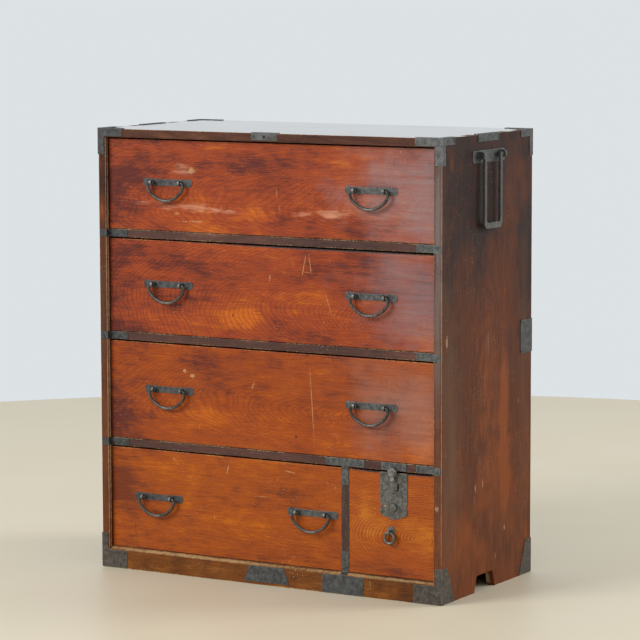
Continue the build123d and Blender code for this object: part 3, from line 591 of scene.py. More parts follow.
@dataclass(frozen=True)
class Lacquer(Finish):
    """Wiped lacquer over wood: three tones, the wood's figure, wear and marks."""

    RING_TINT: ClassVar[Colour] = (0.40, 0.30, 0.34)
    FIBRE_TINT: ClassVar[Colour] = (0.58, 0.48, 0.5)
    PORE_TINT: ClassVar[Colour] = (0.3, 0.25, 0.25)
    WOOD_TINT: ClassVar[Colour] = (0.5, 0.4, 0.35)
    DUST_COLOUR: ClassVar[Colour] = (0.42, 0.38, 0.35)
    GLOW_RISE: ClassVar[float] = 0.4
    SHADE_FALL: ClassVar[float] = -0.28
    MIDDLE_TONE: ClassVar[tuple[float, float]] = (0.48, 0.52)
    LEVEL_SLOPE: ClassVar[float] = 0.8

    deep: Colour = (0.120, 0.023, 0.014)
    middle: Colour = (0.345, 0.058, 0.013)
    warm: Colour = (0.570, 0.130, 0.010)
    pale: Colour = (0.66, 0.40, 0.17)
    scuff: Colour = (0.60, 0.27, 0.16)
    worn: Colour = (0.42, 0.28, 0.15)
    # The colour of the painted sheen, a painted reflection.
    haze: Colour = (0.31, 0.19, 0.185)
    # Near black of dirty pits and dents, also the colour of painted shadows in gaps and holes.
    dark_and_shadow: Colour = (0.030, 0.020, 0.018)
    grain: Grain = Grain.LEVEL
    log: Log = field(default_factory=Log)
    tone: float = 0.5
    swing: float = 1.0
    foot_tone: float = 0.0
    figure: float = 0.45
    roughness: float = 0.36
    specular: float = 0.2
    coat: float = 0.0
    coat_roughness: float = 0.16
    edge_roughness: float = 0.55
    edge_width: float = 1.8 * MM
    edge_patchy: float = 0.8
    edge_boxes: tuple[tuple[Triple, Triple], ...] = ()
    faces: tuple[tuple[Face, float], ...] = ()
    marks: tuple[Spot, ...] = ()
    dust: float = 0.0
    wear: float = 1.0
    relief: float = 0.14 * MM

    def mask(self, g: Graph, place: Feed, kind: Mark) -> Feed:
        """All of the marks of one kind, as one mask.

        Args:
            g: The material's graph.
            place: The piece's coordinates.
            kind: The kind to gather.

        Returns:
            The mask, or 0 where the piece has no such mark.
        """
        _, softness, ragged, grit, drawn = kind.value
        depths = dict(self.faces)
        masks = []
        for spot in self.marks:
            if spot.kind is not kind:
                continue
            _, across, up, through = spot.face.value
            centre, size, turn, draw = [0.0] * 3, [spot.depth * MM] * 3, [0.0] * 3, [1.0] * 3
            centre[across], centre[up] = spot.across * MM, spot.up * MM
            size[across], size[up] = spot.half_width * MM, spot.half_height * MM
            centre[through], turn[through] = depths[spot.face], math.radians(spot.tilt)
            draw[across] = drawn
            oval = {"Centre": centre, "Size": size, "Turn": turn, "Draw": draw}
            patch = Patch.place(g, Vector=place, **oval, Softness=softness, Ragged=ragged, Grit=grit)
            masks.append(g.math("MULTIPLY", patch["Mask"], spot.strength))
        return g.most(masks)

    def toned(self, g: Graph, place: Feed, along: Feed, streaks: Feed, cloud: Feed) -> Feed:
        """The lacquer's own colour: slow clouds, streaks along the grain, glows and shades.

        Args:
            g: The material's graph.
            place: The piece's coordinates.
            along: The same, turned so that x runs along the grain.
            streaks: Noise drawn out along the grain.
            cloud: The polish's clouds, about 0.

        Returns:
            The colour.
        """
        slow = g.noise(g.stretch(along, (3.2, 9.0, 9.0), (1.0, 5.0, 2.0)), 1.0, 3.0, 0.55)
        mottle = g.noise(g.stretch(along, (22.0, 44.0, 44.0), (4.0, 2.0, 7.0)), 1.0, 4.0, 0.62)
        fine = g.noise(g.stretch(along, (26.0, 330.0, 330.0)), 1.0, 3.0, 0.6)
        tone: Feed = self.tone
        for part, swing in ((slow, 1.2), (mottle, 0.85), (streaks, 0.7), (fine, 0.75)):
            tone = g.math("MULTIPLY_ADD", g.math("SUBTRACT", part, 0.5), swing * self.swing, tone)
        tone = g.math("MULTIPLY_ADD", cloud, 0.8 * self.swing, tone)
        tone = g.math("MULTIPLY_ADD", g.math("SUBTRACT", 0.5, g.split(place)[2]), self.foot_tone, tone)
        tone = g.math("MULTIPLY_ADD", self.mask(g, place, Mark.GLOW), self.GLOW_RISE, tone)
        tone = g.math("MULTIPLY_ADD", self.mask(g, place, Mark.SHADE), self.SHADE_FALL, tone, clamp=True)
        start, end = self.MIDDLE_TONE
        lower = g.blend(g.band(tone, 0.0, end), self.deep, self.middle)
        return g.blend(g.band(tone, start, 1.0), lower, self.warm)

    def figured(self, g: Graph, colour: Feed, rings: Sockets, streaks: Feed) -> Feed:
        """The colour with rings, fibres and pores showing through it.

        Args:
            g: The material's graph.
            colour: The lacquer's colour.
            rings: The growth rings' outputs.
            streaks: Noise drawn out along the grain.

        Returns:
            The colour.
        """
        strength = g.band(streaks, 0.3, 0.7, 0.55 * self.figure, 1.2 * self.figure)
        colour = g.tint(g.math("MULTIPLY", rings["Rings"], strength), colour, self.RING_TINT)
        colour = g.tint(g.band(rings["Fibre"], 0.3, 0.75, 0.0, 0.4), colour, self.FIBRE_TINT)
        return g.tint(g.math("MULTIPLY", rings["Pores"], 0.55), colour, self.PORE_TINT)

    def bared(self, g: Graph, place: Feed) -> Feed:
        """Where the wood lies bare: along the worn arrises and at its own marks.

        Args:
            g: The material's graph.
            place: The piece's coordinates.

        Returns:
            The mask.
        """
        width, patchy = self.edge_width, self.edge_patchy
        edges = [
            EdgeWear.place(g, Vector=place, Low=low, High=high, Width=width, Patchy=patchy)["Mask"]
            for low, high in self.edge_boxes
        ]
        return g.most([*edges, self.mask(g, place, Mark.BARE)])

    def handled(
        self, g: Graph, place: Feed, colour: Feed, streaks: Feed, marks: Masks, handling: Sockets
    ) -> Feed:
        """The colour under its painted sheen, scuffs, specks, scratches, bare wood, dents, painted
        shadows and dust.

        Args:
            g: The material's graph.
            place: The piece's coordinates.
            colour: The figured lacquer.
            streaks: Noise drawn out along the grain.
            marks: The mask of each kind of mark, with the worn arrises among the bare ones.
            handling: The handling's outputs.

        Returns:
            The colour.
        """
        darker = g.blend(1.0, self.pale, self.WOOD_TINT, "MULTIPLY")
        wood = g.blend(g.noise(place, 120.0, 3.0), darker, self.pale)
        worn = g.math("MULTIPLY", self.mask(g, place, Mark.WORN), g.band(streaks, 0.3, 0.6, 0.4, 0.85))
        layers = (
            # The sheen marks lay a pale haze on: a painted reflection.
            (g.math("MULTIPLY", marks[Mark.SHEEN], g.band(streaks, 0.25, 0.7, 0.35, 0.65)), self.haze),
            (g.math("MULTIPLY", marks[Mark.RUB], g.band(streaks, 0.35, 0.62, 0.2, 0.8)), self.scuff),
            (g.math("MULTIPLY", handling["Pits"], 0.6), self.dark_and_shadow),
            (g.math("MULTIPLY", handling["Specks"], 0.65), self.pale),
            (g.math("MULTIPLY", handling["Scratches"], 0.5), self.pale),
            (g.math("MULTIPLY", marks[Mark.SCRATCH], 0.45), self.pale),
            (worn, self.worn),
            (g.math("MULTIPLY", marks[Mark.BARE], 0.85), wood),
            # Dents darken, and so do the shadows painted into gaps and holes.
            (g.math("MULTIPLY", marks[Mark.DENT_AND_SHADOW], 0.9), self.dark_and_shadow),
        )
        for share, over in layers:
            colour = g.blend(share, colour, over)
        if self.dust:
            dust = Dust.place(g, Vector=place, Amount=self.dust)["Mask"]
            colour = g.blend(dust, colour, self.DUST_COLOUR)
        return colour

    def gloss(self, g: Graph, shader: bpy.types.Node, cloud: Feed, marks: Masks) -> None:
        """Feed the shader its gloss, and on a board with a coat, the coat where it lies level.

        Args:
            g: The material's graph.
            shader: The material's shader.
            cloud: The polish's clouds, about 0.
            marks: The mask of each kind of mark.
        """
        start = self.edge_roughness if self.coat else self.roughness
        rough = g.math("MULTIPLY_ADD", cloud, 0.22, start)
        rough = g.math("MULTIPLY_ADD", g.most([marks[Mark.SHEEN], marks[Mark.RUB]]), 0.14, rough)
        shader.inputs["Specular IOR Level"].default_value = self.specular
        if self.coat:
            level = FacingUp.place(g, Steepest=self.LEVEL_SLOPE)["Mask"]
            g.put(shader.inputs["Coat Weight"], g.math("MULTIPLY", level, self.coat))
            shader.inputs["Coat Roughness"].default_value = self.coat_roughness
            rough = g.math("MULTIPLY_ADD", level, self.roughness - self.edge_roughness, rough)
        g.put(shader.inputs["Roughness"], g.math("MULTIPLY_ADD", marks[Mark.BARE], 0.3, rough))

    def material(self) -> Material:
        """Build the lacquer.

        Returns:
            The material.
        """
        material, g, shader, place = self.start()
        along = self.grain.turn(g, place)
        rings = self.log.rings(g, along)
        handling = Handling.place(g, Vector=place, Amount=self.wear)
        streaks = g.noise(g.stretch(along, (5.0, 90.0, 90.0)), 1.0, 4.0, 0.65)
        cloud = g.math("SUBTRACT", handling["Cloud"], 0.5)
        colour = self.figured(g, self.toned(g, place, along, streaks, cloud), rings, streaks)
        marks = {kind: self.mask(g, place, kind) for kind in (Mark.SHEEN, Mark.SCRATCH, Mark.DENT_AND_SHADOW)}
        marks[Mark.RUB] = g.most([self.mask(g, place, Mark.RUB), self.mask(g, place, Mark.BLOOM)])
        marks[Mark.BARE] = self.bared(g, place)
        g.put(shader.inputs["Base Color"], self.handled(g, place, colour, streaks, marks, handling))
        self.gloss(g, shader, cloud, marks)
        height = g.math("MULTIPLY_ADD", rings["Rings"], 0.35, g.math("MULTIPLY", rings["Pores"], -0.8))
        height = g.math("MULTIPLY_ADD", rings["Fibre"], 0.3, height)
        for kind, rise in ((Mark.BARE, -1.2), (Mark.SCRATCH, -1.0), (Mark.DENT_AND_SHADOW, -2.0)):
            height = g.math("MULTIPLY_ADD", marks[kind], rise, height)
        self.raise_surface(g, shader, height, self.relief)
        return material


@dataclass(frozen=True)
class BareWood(Finish):
    """Wood that was never lacquered: kiri inside the drawers, aged boards at the back."""

    light: Colour = (0.46, 0.33, 0.20)
    dark: Colour = (0.26, 0.16, 0.085)
    grain: Grain = Grain.LEVEL
    log: Log = field(default_factory=Log)
    roughness: float = 0.7
    darkening: float = 0.4
    relief: float = 0.2 * MM

    STAIN_TINT: ClassVar[Colour] = (0.45, 0.4, 0.36)

    def material(self) -> Material:
        """Build the bare wood.

        Returns:
            The material.
        """
        material, g, shader, place = self.start()
        along = self.grain.turn(g, place)
        rings = self.log.rings(g, along)
        slow = g.noise(g.stretch(along, (2.0, 9.0, 9.0)), 1.0, 3.0)
        colour = g.blend(g.band(slow, 0.25, 0.75, 0.0, 0.6), self.light, self.dark)
        colour = g.blend(g.math("MULTIPLY", rings["Rings"], 0.5), colour, self.dark)
        colour = g.blend(g.band(rings["Fibre"], 0.35, 0.7, 0.0, 0.4), colour, self.dark)
        stains = g.band(g.noise(place, 5.0, 5.0, 0.65), 0.45, 0.75, 0.0, self.darkening)
        colour = g.tint(stains, colour, self.STAIN_TINT)
        g.put(shader.inputs["Base Color"], colour)
        rough = g.band(rings["Fibre"], 0.2, 0.8, self.roughness - 0.1, self.roughness + 0.1)
        g.put(shader.inputs["Roughness"], rough)
        height = g.math("MULTIPLY_ADD", rings["Rings"], 0.5, rings["Fibre"])
        self.raise_surface(g, shader, height, self.relief)
        return material


@dataclass(frozen=True)
class Iron(Finish):
    """Blackened wrought iron, mottled with scale and rubbed bright at its rims."""

    dark: Colour = (0.046, 0.050, 0.051)
    light: Colour = (0.125, 0.132, 0.132)
    rim: Colour = (0.22, 0.22, 0.205)
    fleck: Colour = (0.20, 0.20, 0.19)
    rust: Colour = (0.10, 0.060, 0.038)
    rusty: float = 0.3
    metal: float = 0.5
    roughness: float = 0.55
    relief: float = 0.3 * MM
    # Black patches painted round holes in the iron, each a centre and a size: painted shade in the
    # holes.
    hole_shades: tuple[tuple[Triple, Triple], ...] = ()
    # Whether the iron takes painted shade at the case's left end, on its sides and near the floor.
    painted_shade: bool = False

    HOLE_SHADE_COLOUR: ClassVar[Colour] = (0.008, 0.008, 0.008)
    SHADE_TINT: ClassVar[Colour] = (0.55, 0.55, 0.56)

    def dark_and_shadow(self, g: Graph, place: Feed) -> Feed:
        """Painted shade on the case's irons: darker at its left end, on its sides and by the floor.

        Args:
            g: The material's graph.
            place: The piece's coordinates.

        Returns:
            The mask.
        """
        across, through, up = g.split(place)
        left = g.band(across, -0.45, 0.15, 1.0, 0.0)
        sides = g.band(through, -0.212, -0.19, 0.0, 0.62)
        low = g.band(up, 0.05, 0.12, 0.6, 0.0)
        return g.most([left, sides, low])

    def shaded_holes(self, g: Graph, place: Feed, colour: Feed) -> Feed:
        """The colour under the black patches painted round the iron's holes: painted shade in the holes.

        Args:
            g: The material's graph.
            place: The piece's coordinates.
            colour: The iron's colour.

        Returns:
            The colour.
        """
        for centre, size in self.hole_shades:
            oval = {"Centre": centre, "Size": size, "Turn": (0.0, 0.0, 0.0), "Draw": (1.0, 1.0, 1.0)}
            patch = Patch.place(g, Vector=place, **oval, Softness=0.5, Ragged=0.8, Grit=200.0)
            colour = g.blend(g.math("MULTIPLY", patch["Mask"], 0.9), colour, self.HOLE_SHADE_COLOUR)
        return colour

    def material(self) -> Material:
        """Build the iron.

        Returns:
            The material.
        """
        material, g, shader, place = self.start()
        skin = ForgedSkin.place(g, Vector=place)
        rim = g.add("ShaderNodeAttribute", attribute_name=WEAR_LAYER).outputs["Fac"]
        rim = g.math("MULTIPLY", g.band(rim, 0.25, 1.0), g.band(g.noise(place, 210.0, 3.0), 0.35, 0.6))
        colour = g.blend(g.band(skin["Mottle"], 0.36, 0.66), self.dark, self.light)
        rust = g.band(g.noise(place, 34.0, 4.0, 0.7), 0.52, 0.7, 0.0, self.rusty)
        colour = g.blend(rust, colour, self.rust)
        colour = g.blend(g.math("MULTIPLY", skin["Pits"], 0.5), colour, self.dark)
        colour = g.blend(g.math("MULTIPLY", skin["Flecks"], 0.7), colour, self.fleck)
        colour = g.blend(g.math("MULTIPLY", rim, 0.7), colour, self.rim)
        # Painted shade: darker at the case's left end, on its sides and near the floor.
        if self.painted_shade:
            colour = g.tint(self.dark_and_shadow(g, place), colour, self.SHADE_TINT)
        g.put(shader.inputs["Base Color"], self.shaded_holes(g, place, colour))
        metal = g.math("MULTIPLY_ADD", rust, -self.metal, self.metal)
        g.put(shader.inputs["Metallic"], g.math("MULTIPLY_ADD", rim, 0.3, metal, clamp=True))
        rough = g.math("MULTIPLY_ADD", g.math("SUBTRACT", skin["Mottle"], 0.5), 0.4, self.roughness)
        rough = g.math("MULTIPLY_ADD", rim, -0.14, rough)
        g.put(shader.inputs["Roughness"], g.math("MULTIPLY_ADD", rust, 0.3, rough, clamp=True))
        self.raise_surface(g, shader, skin["Height"], self.relief)
        return material


@dataclass(frozen=True)
class Brass(Finish):
    """Tarnished brass of a small rivet."""

    bright: Colour = (0.62, 0.44, 0.20)
    dull: Colour = (0.28, 0.18, 0.08)

    def material(self) -> Material:
        """Build the brass.

        Returns:
            The material.
        """
        material, g, shader, place = self.start()
        tarnish = g.noise(place, 500.0, 3.0)
        g.put(shader.inputs["Base Color"], g.blend(tarnish, self.bright, self.dull))
        g.put(shader.inputs["Roughness"], g.band(tarnish, 0.2, 0.8, 0.25, 0.55))
        shader.inputs["Metallic"].default_value = 0.9
        return material


@dataclass(frozen=True)
class FloorPaint(Finish):
    """Plain pale floor."""

    pale: Colour = (0.66, 0.585, 0.43)
    paler: Colour = (0.69, 0.62, 0.47)

    def material(self) -> Material:
        """Build the floor's paint.

        Returns:
            The material.
        """
        material, g, shader, place = self.start()
        g.put(shader.inputs["Base Color"], g.blend(g.noise(place, 1.3, 2.0), self.pale, self.paler))
        g.put(shader.inputs["Roughness"], g.band(g.noise(place, 3.0, 2.0), 0.3, 0.7, 0.42, 0.5))
        return material


# ---------------------------------- working meshes
@dataclass(frozen=True)
class Blows:
    """How a hammer leaves a surface: the deepest blow, and the distance between blows."""

    depth: float
    spread: float


class Shape:
    """A mesh on the bench, which remembers where its arrises were rounded."""

    ARRIS_ANGLE: ClassVar[float] = math.radians(28)
    SMOOTH_ANGLE: ClassVar[float] = math.radians(50)
    FLAT_ANGLE: ClassVar[float] = math.radians(0.6)
    FLAT_SPREAD: ClassVar[float] = 1.1 * MM
    THROUGH_SHARE: ClassVar[float] = 0.98

    def __init__(self, mesh: bpy.types.Mesh | None = None) -> None:
        """Start from a mesh or from nothing, with a layer that marks worked arrises.

        Args:
            mesh: The mesh to start from, if any.
        """
        self.bm = bmesh.new()
        if mesh:
            self.bm.from_mesh(mesh)
        self.arris = self.bm.faces.layers.int.new("arris")

    @classmethod
    def copy_of(cls, node: str) -> "Shape":
        """A CAD node's shape, its loose triangles joined and its flats made whole.

        Args:
            node: The node's name.

        Returns:
            The shape.
        """
        shape = cls(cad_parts[node].data)
        bm = shape.bm
        bmesh.ops.remove_doubles(bm, verts=bm.verts, dist=WELD)
        bmesh.ops.dissolve_limit(bm, angle_limit=cls.FLAT_ANGLE, verts=bm.verts, edges=bm.edges)
        return shape

    def islands(self) -> list[tuple[Vector, Vector]]:
        """The lowest and highest corner of each separate solid, from left to right.

        Returns:
            One pair of corners for each solid, in the same order on every run.
        """
        left = set(self.bm.verts)
        boxes = []
        while left:
            stack = [left.pop()]
            low, high = stack[0].co.copy(), stack[0].co.copy()
            while stack:
                vert = stack.pop()
                low = Vector(map(min, low, vert.co))
                high = Vector(map(max, high, vert.co))
                near = {edge.other_vert(vert) for edge in vert.link_edges} & left
                left -= near
                stack.extend(near)
            boxes.append((low, high))
        return sorted(boxes, key=lambda box: tuple(box[0]))

    def round_arrises(self, width: float, segments: int = 3) -> None:
        """Round every arris and mark the new faces.

        Args:
            width: How far the rounding reaches along each side.
            segments: The number of faces across it.
        """
        sharp = [
            edge
            for edge in self.bm.edges
            if edge.is_manifold and edge.calc_face_angle(0.0) > self.ARRIS_ANGLE
        ]
        made = bmesh.ops.bevel(
            self.bm,
            geom=sharp,
            offset=width,
            offset_type="OFFSET",
            segments=segments,
            profile=0.5,
            affect="EDGES",
            clamp_overlap=True,
            material=-1,
        )
        for face in made["faces"]:
            face[self.arris] = 1

    def ease_corners(self, chosen: Callable[[Vector], bool], radius: float, segments: int = 5) -> None:
        """Round corners of a front plate's outline.

        Args:
            chosen: Says of an edge's middle whether that corner is rounded.
            radius: The rounding's reach.
            segments: The number of faces across it.
        """
        corners = []
        for edge in self.bm.edges:
            first, second = (vert.co for vert in edge.verts)
            through = abs(first.y - second.y) > self.THROUGH_SHARE * (first - second).length
            sharp = through and edge.calc_face_angle(0.0) > self.ARRIS_ANGLE
            if sharp and chosen((first + second) / 2):
                corners.append(edge)
        bmesh.ops.bevel(
            self.bm,
            geom=corners,
            offset=radius,
            offset_type="OFFSET",
            segments=segments,
            profile=0.5,
            affect="EDGES",
            clamp_overlap=False,
            material=-1,
        )

    def ring_flats(self, width: float) -> None:
        """Lay a narrow ring of faces inside each flat, so that wear and shading stay at its rim.

        Args:
            width: The width of the ring.
        """
        flats = [
            face
            for face in self.bm.faces
            if not face[self.arris] and face.calc_area() / face.calc_perimeter() > self.FLAT_SPREAD
        ]
        options = {"use_even_offset": True, "use_boundary": True}
        bmesh.ops.inset_region(self.bm, faces=flats, thickness=width, **options)

    def slice_up(self, step: float) -> None:
        """Cut the shape by level and upright planes, so that it can be hammered.

        Args:
            step: The distance between the planes.
        """
        lows, highs = zip(*self.islands())
        for axis in range(3):
            low, high = min(v[axis] for v in lows), max(v[axis] for v in highs)
            normal = Vector(1.0 if i == axis else 0.0 for i in range(3))
            for index in range(1, int((high - low) / step)):
                geometry = [*self.bm.verts, *self.bm.edges, *self.bm.faces]
                cut = normal * (low + index * step)
                bmesh.ops.bisect_plane(self.bm, geom=geometry, dist=WELD, plane_co=cut, plane_no=normal)

    def hammer(self, blows: Blows) -> None:
        """Push the surface in by uneven amounts, never out.

        Args:
            blows: How deep and how far apart.
        """
        self.bm.normal_update()
        moves = []
        for vert in self.bm.verts:
            blow = 0.5 + 0.5 * noise.noise(vert.co / blows.spread)
            moves.append((vert, vert.normal * (-blows.depth * blow)))
        for vert, move in moves:
            vert.co += move

    def turn(self, geometry: list, centre: Vector, axis: Vector, steps: int) -> None:
        """Turn a profile full circle.

        Args:
            geometry: The profile's vertices and edges.
            centre: A point on the axis.
            axis: The axis's direction.
            steps: The number of faces round it.
        """
        bmesh.ops.spin(
            self.bm,
            geom=geometry,
            cent=centre,
            axis=axis,
            angle=math.tau,
            steps=steps,
            use_merge=True,
            use_duplicate=False,
        )

    def turn_dome(self, foot: Vector, outward: Vector, across: Vector, dome: Dome, steps: int) -> None:
        """Turn a dome from a profile that ends on its axis.

        Args:
            foot: The middle of its foot.
            outward: The direction of its axis.
            across: A direction across the axis.
            dome: The profile: how far out each point lies from the axis, and how high.
            steps: The number of faces round it.
        """
        verts = [self.bm.verts.new(foot + across * out + outward * rise) for out, rise in dome]
        edges = [self.bm.edges.new(pair) for pair in zip(verts, verts[1:])]
        self.turn([*verts, *edges], foot, outward, steps)

    def close(self) -> None:
        """Join what meets, and turn every face outwards."""
        bmesh.ops.remove_doubles(self.bm, verts=self.bm.verts, dist=WELD)
        bmesh.ops.recalc_face_normals(self.bm, faces=self.bm.faces)

    def put(
        self, name: str, body: str, slot: str, material: Material, replaces: tuple[str, ...] = ()
    ) -> None:
        """Put the finished shape in the scene.

        Args:
            name: The piece's name.
            body: The CAD body that it rides on.
            slot: The slot that its finish stands for; not used.
            material: Its finish.
            replaces: The CAD nodes that it stands for.
        """
        bm = self.bm
        wear = bm.verts.layers.float.new(WEAR_LAYER)
        for vert in bm.verts:
            vert[wear] = float(max((face[self.arris] for face in vert.link_faces), default=0))
        mesh = bpy.data.meshes.new(name)
        bm.to_mesh(mesh)
        bm.free()
        mesh.materials.clear()
        mesh.materials.append(material)
        mesh.polygons.foreach_set("material_index", [0] * len(mesh.polygons))
        mesh.shade_smooth()
        mesh.set_sharp_from_angle(angle=self.SMOOTH_ANGLE)
        piece = bpy.data.objects.new(name, mesh)
        bpy.context.scene.collection.objects.link(piece)
        weigh = piece.modifiers.new("even_shading", "WEIGHTED_NORMAL")
        weigh.keep_sharp = True
        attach(piece, body)
        if replaces:
            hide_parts(*replaces)


def dress(node: str, material: Material) -> None:
    """Give a CAD node its finish."""
    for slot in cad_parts[node].material_slots:
        slot.material = material


def soften(node: str, width: float) -> None:
    """Round a CAD node's arrises with modifiers; its own mesh stays as it is.

    Args:
        node: The node's name.
        width: The width of the rounding.
    """
    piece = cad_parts[node]
    weld = piece.modifiers.new("join_triangles", "WELD")
    weld.merge_threshold = WELD
    bevel = piece.modifiers.new("soft_arris", "BEVEL")
    bevel.width = width
    bevel.segments = 2
    bevel.limit_method = "ANGLE"
    bevel.angle_limit = SOFT_ANGLE
    bevel.face_strength_mode = "FSTR_NEW"
    weigh = piece.modifiers.new("even_shading", "WEIGHTED_NORMAL")
    weigh.mode = "FACE_AREA"
    weigh.weight = 100
    weigh.use_face_influence = True
    piece.data.shade_smooth()


def box_of(node: str) -> tuple[Triple, Triple]:
    """A CAD node's corners as plain numbers."""
    low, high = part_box(node)
    return tuple(low), tuple(high)


def boxes_of(node: str) -> tuple[tuple[Triple, Triple], ...]:
    """The corners of each solid of a CAD node, as plain numbers.

    Args:
        node: The node's name.

    Returns:
        The lowest and highest corner of each solid.
    """
    shape = Shape.copy_of(node)
    boxes = tuple((tuple(low), tuple(high)) for low, high in shape.islands())
    shape.bm.free()
    return boxes


# ---------------------------------- the irons' finishes, shared
@dataclass(frozen=True)
class IronFinishes:
    """The metal finishes of the chest, built once."""

    plate: Material
    corner: Material
    rubbed: Material
    bail: Material
    eye: Material
    lock: Material
    knob: Material
    carry: Material
    brass: Material

    # Black patches painted round the top plate's hole and the keyhole: painted shade in them.
    HOLE_SHADE: ClassVar[Triple] = (4.6 * MM, 8.0 * MM, 4.6 * MM)
    KEYHOLE_SHADE: ClassVar[Triple] = (3.2 * MM, 8.0 * MM, 9.5 * MM)
    KEYHOLE_RIGHT: ClassVar[float] = 10.5 * MM
    KEYHOLE_DROP: ClassVar[float] = 31.5 * MM

    @classmethod
    def build(cls) -> "IronFinishes":
        """Build the metal finishes.

        Returns:
            The finishes.
        """
        brown = Iron(
            "corner_iron",
            dark=(0.045, 0.038, 0.032),
            light=(0.115, 0.098, 0.080),
            rust=(0.13, 0.070, 0.038),
            rusty=0.5,
        )
        rubbed = Iron(
            "rubbed_iron",
            dark=(0.055, 0.048, 0.043),
            light=(0.15, 0.135, 0.122),
            rim=(0.24, 0.225, 0.20),
            rusty=0.15,
            metal=0.7,
            roughness=0.45,
            relief=0.15 * MM,
        )
        bail = Iron(
            "bail_iron",
            dark=(0.030, 0.026, 0.022),
            light=(0.095, 0.083, 0.072),
            rim=(0.30, 0.27, 0.235),
            rusty=0.1,
            metal=0.35,
            roughness=0.4,
            relief=0.12 * MM,
        )
        low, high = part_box("lock_plate")
        keyhole = ((low.x + high.x) / 2 + cls.KEYHOLE_RIGHT, low.y, high.z - cls.KEYHOLE_DROP)
        lock = Iron(
            "lock_iron",
            dark=(0.055, 0.054, 0.050),
            light=(0.150, 0.146, 0.132),
            rim=(0.26, 0.25, 0.22),
            fleck=(0.34, 0.29, 0.20),
            rust=(0.13, 0.09, 0.05),
            rusty=0.4,
            hole_shades=((keyhole, cls.KEYHOLE_SHADE),),
        )
        eye = Iron("eye_iron", light=(0.115, 0.118, 0.117), rim=(0.20, 0.195, 0.185), metal=0.3)
        knob = Iron(
            "knob_iron",
            dark=(0.085, 0.081, 0.075),
            light=(0.200, 0.192, 0.178),
            rim=(0.34, 0.32, 0.29),
            rust=(0.13, 0.09, 0.05),
            metal=0.25,
        )
        low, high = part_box("top_panel")
        hole = (0.0, low.y, high.z - TOP_HOLE_DROP)
        plate = Iron(
            "plate_iron",
            dark=(0.052, 0.054, 0.053),
            light=(0.143, 0.146, 0.142),
            rim=(0.24, 0.235, 0.22),
            hole_shades=((hole, cls.HOLE_SHADE),),
            painted_shade=True,
        )
        # The carrying handles' iron is darker than the plates: painted shade, for the sides that take
        # less light.
        carry = Iron(
            "carry_iron",
            dark=(0.031, 0.030, 0.027),
            light=(0.088, 0.084, 0.076),
            rim=(0.16, 0.152, 0.136),
            fleck=(0.16, 0.15, 0.13),
            metal=0.4,
        )
        finishes = (plate, brown, rubbed, bail, eye, lock, knob, carry, Brass("rivet_brass"))
        return cls(*(finish.material() for finish in finishes))


